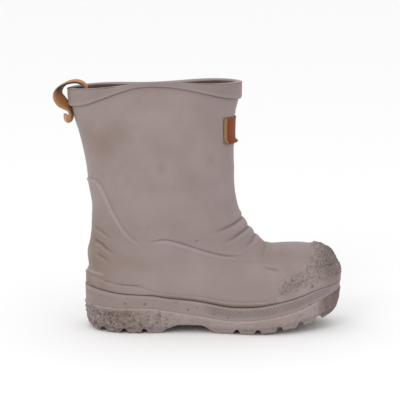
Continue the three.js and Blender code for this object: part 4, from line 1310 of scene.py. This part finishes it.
@dataclass
class Outsole:
    """The lugged outsole, with worn and eroded edges.

    Its side is a list of shares of the way down, how far each stands out and how far it tucks in at the nose.
    """

    around: int = 360
    side: tuple[tuple[float, float, float], ...] = (
        (1.0, -0.1, 1.1), (0.9, 0.35, 0.8), (0.8, 0.6, 0.5), (0.65, 0.76, 0.3), (0.5, 0.9, 0.1),
        (0.35, 0.95, 0.05), (0.24, 0.98, 0.0), (0.18, 1.0, 0.0), (0.12, 1.16, 0.0), (0.05, 1.22, 0.0),
        (0.0, 1.0, 0.0))
    side_channels: tuple[float, ...] = (0.072, 0.154, 0.231, 0.588, 0.669, 0.753, 0.834, 0.905)
    spine_channels: tuple[float, ...] = (0.112, 0.194, 0.548, 0.628, 0.711, 0.794, 0.868)
    channel_half: Line = ((1.25, -1.0), (1.1, 0.15), (0.9, 0.6), (0.45, 1.0))
    arch: Line = (
        (0.289, -0.3), (0.315, 0.5), (0.355, 1.0), (0.455, 1.0), (0.49, 0.4), (0.51, -0.3))
    voxel: float = 0.95
    smoothing: int = 3
    chewed: tuple[float, float] = (3.4, 15.0)
    mud_at: tuple[float, float] = (-6.0, 12.0)
    mud_reach: float = 13.0
    grain: Layers = ((1.9, 5.0, 0.34), (5.5, 8.0, 0.3))

    def cutter(self, outline: Line, low: float, high: float) -> Piece:
        """A prism across the boot with an outline in the side view."""
        count = len(outline)
        mesh = bpy.data.meshes.new("cutter")
        sides = [(i, (i + 1) % count, count + (i + 1) % count, count + i) for i in range(count)]
        caps = [tuple(range(count - 1, -1, -1)), tuple(range(count, 2 * count))]
        mesh.from_pydata([(x * MM, y * MM, z * MM) for y in (low, high) for x, z in outline], [], sides + caps)
        piece = link_object("cutter", mesh)
        face_outwards(piece)
        return piece

    def channel(self, along: float, low: float, high: float) -> Piece:
        """A round-cornered channel between two lugs."""
        x = float(sole_x(along))
        half = [(LUG_GAP / 2 * out, float(ground_z(x)) + LUG_DEPTH * up) for out, up in self.channel_half]
        front, back = [(x + out, z) for out, z in half], [(x - out, z) for out, z in half[::-1]]
        return self.cutter(front + back, low, high)

    def cutters(self) -> list[Piece]:
        """Every channel and the arch."""
        half = SPINE_WIDTH / 2
        arch = [(float(sole_x(along)), rise * ARCH_RISE) for along, rise in self.arch]
        cuts = [self.cutter(arch, -BALL_WIDTH, BALL_WIDTH)]
        for along in self.side_channels:
            turn = math.acos(2 * along - 1)
            outer, inner = FORM.sole_outline(np.array([-turn, turn]), 0.0)[:, 1].tolist()
            reach = min(LUG_REACH, (inner - outer) / 2 - half)
            cuts.append(self.channel(along, outer - BALL_WIDTH, outer + reach))
            cuts.append(self.channel(along, inner - reach, inner + BALL_WIDTH))
        return cuts + [self.channel(along, -half, half) for along in self.spine_channels]

    def build(self) -> Piece:
        """The outsole as one closed and worn piece."""
        turns = even_turns(self.around)
        stack = RingStack()
        for drop, out, tuck in self.side:
            stack.add(sole_ring(turns, out, tuck, lambda x: ridge_z(x) + (ground_z(x) - ridge_z(x)) * drop))
        piece = stack.solid("outsole_lugged")
        cuts = self.cutters()
        for cut in cuts:
            step = piece.modifiers.new("cut", "BOOLEAN")
            step.operation, step.object, step.solver = "DIFFERENCE", cut, "MANIFOLD"
        remesh = piece.modifiers.new("remesh", "REMESH")
        remesh.mode, remesh.voxel_size = "VOXEL", self.voxel * MM
        bake_modifiers(piece)
        for cut in cuts:
            bpy.data.objects.remove(cut)
        smooth = piece.modifiers.new("smooth", "SMOOTH")
        smooth.factor, smooth.iterations = 0.5, self.smoothing
        bake_modifiers(piece)
        self.wear(piece)
        return piece

    def wear(self, piece: Piece) -> None:
        """Erode the outsole's faces, and mark its dirt, its painted shade and the painted highlight along its
        ridge.
        """
        points, normals = vectors_of(piece)
        along, ridge = along_sole(points[:, 0]), points[:, 2] - ridge_z(points[:, 0])
        side = 1 - np.abs(normals[:, 2])
        heel, toe = bell(along, 0.3), ease(0.9, 0.935, along + layered(points, ((6.0, 2.0, 0.012),)))
        chew = np.minimum(noise_field(points, *self.chewed) + 0.1, 0) * 0.9
        out = layered(points, self.grain) * 0.6 + chew * np.clip(heel + 0.5 * toe, 0, 1)
        out *= (0.35 + 0.65 * side) * (1 - ease(-0.8, 0.0, ridge) * 0.9)
        moved = points + normals * out[:, None]
        moved[:, 2] = np.minimum(np.maximum(moved[:, 2], 0.0), ridge_z(points[:, 0]) + 0.05)
        piece.data.vertices.foreach_set("co", (moved * MM).ravel())
        piece.data.update()
        # Painted shade in the corners at the roots of the lugs.
        lug_root_shade = 0.6 * bell(points[:, 2] - ground_z(points[:, 0]) - LUG_DEPTH, 1.2) * (side > 0.5)
        mud = 0.5 * bell(np.hypot(points[:, 0] - self.mud_at[0], points[:, 2] - self.mud_at[1]), self.mud_reach)
        below = 1 - ease(-4.0, -1.5, ridge)
        # The dark coat is darker in the chewed hollows and over the toe, with painted shade at the lugs' roots;
        # the pale coat is a painted highlight just under the ridge.
        masks = {"crease": np.clip(-chew * 1.1 * (heel + 0.3), 0, 0.8) * 0.6 + 0.4 * lug_root_shade + 0.35 * toe,
                 "edge": 0.6 * bell(ridge + 0.6, 0.55) * (1 - toe),
                 "dirt": np.clip(0.1 + 0.25 * heel + mud + 1.2 * toe, 0, 1),
                 "rough": np.clip((0.95 * heel + 0.3) * below, 0, 1),
                 "crumbs": np.clip(heel * below, 0, 1) * ease(1.0, 2.5, points[:, 2])}
        for key, values in masks.items():
            set_mask(piece, key, values)


@dataclass
class Footbed:
    """The soft insole on the midsole, with the shares up and the distances out of its rounded edge."""

    around: int = 200
    thickness: float = 3.0
    inset: float = 3.3
    side: Line = ((0.0, 0.0), (0.15, 0.0), (0.6, 0.0), (0.85, -0.25), (1.0, -0.9))

    def build(self) -> Piece:
        """The insole as a rounded slab."""
        stack = RingStack()
        for up, out in self.side:
            ring = sole_ring(even_turns(self.around), (out - self.inset) / SOLE_LEDGE, 0.0,
                             lambda x: joint_z(x) + FIT + self.thickness * up)
            stack.add(ring, around=np.arange(self.around))
        return stack.solid("footbed")


@dataclass
class PullLoop:
    """The leather strap at the back of the collar, that leaves the shaft and hangs down behind it."""

    width: float = 13.0
    thickness: float = 2.3
    steps: int = 170
    corners: int = 48
    path: Line = (
        (-32.3, 158.0), (-33.0, 168.0), (-31.6, 177.0), (-29.6, 182.2), (-31.6, 185.6), (-35.8, 187.4),
        (-40.5, 187.3), (-45.0, 185.8), (-48.8, 182.9), (-50.9, 179.2), (-50.6, 175.7), (-48.0, 172.0),
        (-44.8, 169.3), (-42.2, 166.6), (-41.1, 163.2), (-41.2, 160.2), (-42.3, 158.0), (-43.9, 157.4),
        (-44.8, 159.0), (-44.5, 162.4))
    roll: Line = (
        (0.0, 0.0), (0.42, 0.0), (0.52, 4.0), (0.6, 17.0), (0.66, 29.0), (0.71, 32.0), (0.76, 22.0),
        (0.82, 7.0), (0.88, 6.0), (1.0, 20.0))

    def centre(self, share: np.ndarray) -> np.ndarray:
        """Points of the strap's middle."""
        xs, zs = (np.array(column) for column in zip(*self.path))
        reached = np.concatenate([[0], np.cumsum(np.hypot(np.diff(xs), np.diff(zs)))])
        x, z = (through(list(zip(reached / reached[-1], column)), share) for column in (xs, zs))
        return np.stack([x, np.zeros(np.shape(share)), z], axis=-1)

    def section(self) -> np.ndarray:
        """The strap's section, with nearly square edges."""
        angle = np.arange(self.corners) * math.tau / self.corners
        axes = ((np.cos(angle), self.width, 0.22), (np.sin(angle), self.thickness, 0.5))
        sides = [size / 2 * np.sign(wave) * np.abs(wave) ** power for wave, size, power in axes]
        return np.stack(sides, axis=-1)

    def build(self) -> Piece:
        """The strap swept along its path."""
        share = np.linspace(0, 1, self.steps)
        middle = self.centre(share)
        way = np.gradient(middle, axis=0)
        way /= np.linalg.norm(way, axis=1, keepdims=True)
        level = np.array([0.0, 1.0, 0.0])
        roll = np.radians(through(self.roll, share))[:, None]
        across = np.cos(roll) * level + np.sin(roll) * np.cross(way, level)
        up = np.cross(way, across)
        section = self.section()
        taper = (1 - 0.1 * ease(0.9, 1.0, share))[:, None, None]
        rings = (middle[:, None] + across[:, None] * section[None, :, :1] * taper
                 + up[:, None] * section[None, :, 1:])
        count = self.corners
        i = np.arange(count // 2)
        cap = np.stack([i, i + 1, (count - 1 - i) % count, (count - i) % count], axis=-1)
        faces = [grid_faces(self.steps, count, True), cap, cap[:, ::-1] + (self.steps - 1) * count]
        worn = 0.5 + 0.5 * noise_field(rings, 4.0, 3.0)
        rim = ease(0.93, 0.99, np.abs(section[:, 0]) * 2 / self.width)[None, :]
        # Painted shadow on the strap's inner face under the top of the loop.
        hollow_shadow = (ease(0.28, 0.4, share) * (1 - ease(0.57, 0.66, share)))[:, None] * (section[None, :, 1] > 0)
        masks = {"edge": np.clip(0.9 * rim + 0.25 * worn, 0, 1),
                 "crease": np.clip(hollow_shadow * (0.75 + 0.4 * worn), 0, 0.95)}
        return make_solid("strap_loop", rings, np.concatenate(faces), masks)


@dataclass
class LabelPatch:
    """The bare leather patch on the front of the shaft, with a sewn line and a strip along either side."""

    spread: float = 0.53
    height: float = 19.6
    thickness: float = 1.1
    middle: float = 1.712
    columns: int = 130
    rings: int = 80
    curl: float = 2.2
    strip: float = 3.0
    per_turn: float = 34.0
    waves: Layers = ((8.0, 12.0, 0.18),)

    def build(self) -> Piece:
        """The patch as a closed plate with soft edges, whose lower edge curls off the shaft."""
        turns = np.linspace(-self.spread, self.spread, self.columns)[None, :]
        middle = float(FORM.row_at_height(np.zeros(1), level_z(self.middle), TOP_ROW - 6)[0])
        per_row = float(FORM.point(TOP_ROW - 2.0, 0.0)[2] - FORM.point(TOP_ROW - 3.0, 0.0)[2])
        half = self.height / per_row / 2
        rows = (middle + np.linspace(-half, half, self.rings))[:, None]
        form = FORM.point(rows, turns)
        side, up = np.broadcast_arrays((self.spread - np.abs(turns)) * self.per_turn,
                                       (half - np.abs(rows - middle)) * per_row)
        inset = np.minimum(side, up)
        border = bell(side - self.strip, 0.5)
        low = FIT + self.curl * ease(0.7, 1.0, (middle - rows) / half) + layered(form, self.waves)
        thick = self.thickness * (0.55 + 0.45 * ease(-0.1, 0.8, inset)) - 0.3 * border
        face = FORM.offset(rows, turns, low + thick)
        back = FORM.offset(rows, turns, low)
        rim = 0.6 * (1 - ease(0.1, 0.7, inset))
        # Pale cut edges along the sides, and a painted highlight down the middle.
        pale = 1 - ease(self.strip - 0.5, self.strip + 0.1, side) + 0.45 * bell(turns, 0.09)
        # Painted shadow under the curled lower edge.
        under = 0.6 * (1 - ease(0.0, 1.2, up)) * (rows < middle)
        # The back of the patch is painted darker, as shade.
        masks = {"edge": np.concatenate([np.clip(rim + pale, 0, 1), rim + 0.2]),
                 "crease": np.concatenate([np.clip(0.6 * border + under, 0, 1), np.full(side.shape, 0.7)])}
        faces = plate_faces(self.rings, self.columns)
        return make_solid("label_patch", np.concatenate([face, back]), faces, masks)


class Crumbs:
    """Small crumbs of rubber that cling to a rough face, scattered by a node tree."""

    smallest = 0.45
    largest = 1.15

    def __init__(self) -> None:
        """Build the tree once."""
        self.tree = bpy.data.node_groups.new("rubber_crumbs", "GeometryNodeTree")
        for key, way, kind in (("Geometry", "INPUT", "Geometry"), ("Density", "INPUT", "Float"),
                               ("Radius", "INPUT", "Float"), ("Seed", "INPUT", "Int"),
                               ("Finish", "INPUT", "Material"), ("Geometry", "OUTPUT", "Geometry")):
            self.tree.interface.new_socket(name=key, in_out=way, socket_type="NodeSocket" + kind)
        nodes = Nodes(self.tree)
        given = nodes.add("NodeGroupInput").outputs
        mask = nodes.add("GeometryNodeInputNamedAttribute", {"Name": "crumbs"}, data_type="FLOAT")
        spread = nodes.add("GeometryNodeDistributePointsOnFaces", {
            "Mesh": given["Geometry"], "Density": nodes.times(mask.outputs["Attribute"], given["Density"]),
            "Seed": given["Seed"]}).outputs
        crumb = nodes.add("GeometryNodeMeshIcoSphere", {"Radius": given["Radius"], "Subdivisions": 2})
        size = nodes.add("FunctionNodeRandomValue", {2: self.smallest, 3: self.largest, "Seed": given["Seed"]},
                         data_type="FLOAT")
        placed = nodes.add("GeometryNodeInstanceOnPoints", {
            "Points": spread["Points"], "Instance": crumb.outputs["Mesh"], "Rotation": spread["Rotation"],
            "Scale": size.outputs[1]})
        real = nodes.add("GeometryNodeRealizeInstances", {"Geometry": placed.outputs["Instances"]})
        dressed = nodes.add("GeometryNodeSetMaterial",
                            {"Geometry": real.outputs["Geometry"], "Material": given["Finish"]})
        nodes.feed(nodes.add("NodeGroupOutput"), {"Geometry": dressed.outputs["Geometry"]})

    def scatter(self, base: Piece, name: str, density: float, radius: float, seed: int,
                material: Material) -> Piece:
        """Crumbs over a piece's rough faces.

        Args:
            base: the piece that carries them, with its mask "crumbs".
            name: name of the new piece.
            density: crumbs to a square metre where the mask is full.
            radius: the crumbs' size in metres.
            seed: fixes their places.
            material: the crumbs' finish.

        Returns:
            The crumbs as one piece.
        """
        host = link_object(name, base.data.copy())
        step = host.modifiers.new("crumbs", "NODES")
        step.node_group = self.tree
        values = {"Density": density, "Radius": radius, "Seed": seed, "Finish": material}
        for item in self.tree.interface.items_tree:
            if item.item_type == "SOCKET" and item.in_out == "INPUT" and item.name in values:
                step[item.identifier] = values[item.name]
        bake_modifiers(host)
        return host


@dataclass(frozen=True)
class Studio:
    """The pale floor, the soft lights and the camera. Lengths are in metres."""

    target: tuple[float, float, float] = (0.056, 0.0, 0.097)
    distance: float = 1.45
    elevation: float = 9.5
    lens: float = 171.7
    floor_reach: float = 30.0

    def floor(self) -> None:
        """A plain pale floor."""
        mesh, reach = bpy.data.meshes.new("floor"), self.floor_reach
        mesh.from_pydata([(-reach, -reach, 0), (reach, -reach, 0), (reach, reach, 0), (-reach, reach, 0)], [],
                         [(0, 1, 2, 3)])
        material, nodes, shader, place = new_material("floor_paper")
        shade = nodes.ramp(nodes.noise(place, 0.8), 0.0, 1.0, 0.97, 1.0)
        paper = nodes.coats(tone(236, 236, 236), (shade, 1.0, tone(250, 250, 250)))
        nodes.feed(shader, {"Base Color": paper, "Roughness": 0.9, "Specular IOR Level": 0.1})
        mesh.materials.append(material)
        link_object("floor", mesh)

    def light(self, name: str, place: tuple[float, float, float], size: float, power: float) -> None:
        """A soft square light that points at the boot."""
        data = bpy.data.lights.new(name, "AREA")
        data.size, data.energy = size, power
        lamp = link_object(name, data)
        lamp.location = place
        lamp.rotation_euler = (Vector(self.target) - Vector(place)).to_track_quat("-Z", "Y").to_euler()

    def lights(self) -> None:
        """A white room with a key light on the left in front and a weak fill light on the right."""
        world = bpy.data.worlds.new("room")
        world.use_nodes = True
        background = world.node_tree.nodes["Background"].inputs
        background["Color"].default_value, background["Strength"].default_value = (1, 1, 1, 1), 1.0
        bpy.context.scene.world = world
        self.light("key", (-0.8, -1.7, 1.1), 0.9, 9.0)
        self.light("fill", (0.9, -1.6, 0.8), 1.2, 1.5)
        bpy.context.scene.view_settings.view_transform = "Standard"

    def camera(self) -> None:
        """The camera at the photograph's height and distance."""
        data = bpy.data.cameras.new("camera")
        data.lens, data.sensor_width, data.clip_end = self.lens, 36.0, 100.0
        rise = math.radians(self.elevation)
        offset = Vector((0, -math.cos(rise), math.sin(rise))) * self.distance
        camera = link_object("camera", data)
        camera.location = Vector(self.target) + offset
        camera.rotation_euler = (-offset).to_track_quat("-Z", "Y").to_euler()
        bpy.context.scene.camera = camera


def main() -> None:
    """Build every piece in order and dress it."""
    logging.basicConfig(level=logging.INFO, format="%(name)s %(message)s")
    effects = Effects()
    studio = Studio()
    studio.camera()
    studio.lights()
    studio.floor()

    upper_rubber, cap_rubber, outsole_rubber, lining_jersey = (
        finish.material(effects) for finish in (UPPER_FINISH, CAP_FINISH, OUTSOLE_FINISH, LINING_FINISH))

    upper, lining = Shell().build()
    mount(upper, Slot.UPPER, upper_rubber, "upper")
    mount(lining, Slot.LINING, lining_jersey)
    cap = ToeCap().build()
    mount(cap, Slot.SOLE, cap_rubber, "toe_cap")
    mount(CollarBand().build(), Slot.UPPER, BAND_FINISH.material(effects), "collar_band")
    mount(Midsole().build(), Slot.SOLE, MIDSOLE_FINISH.material(effects), "midsole")
    outsole = Outsole().build()
    mount(outsole, Slot.SOLE, outsole_rubber, "outsole")
    crumbs = Crumbs()
    mount(crumbs.scatter(cap, "toe_crumbs", 1.6e5, 0.0005, 3, cap_rubber), Slot.SOLE, cap_rubber)
    mount(crumbs.scatter(outsole, "heel_crumbs", 1.0e5, 0.0006, 5, outsole_rubber), Slot.SOLE, outsole_rubber)
    mount(Footbed().build(), Slot.LINING, lining_jersey, "insole")
    mount(PullLoop().build(), Slot.STRAP, STRAP_FINISH.material(effects), "pull_loop")
    mount(LabelPatch().build(), Slot.LABEL, LABEL_FINISH.material(effects), "label")


if __name__ == "__main__":
    main()
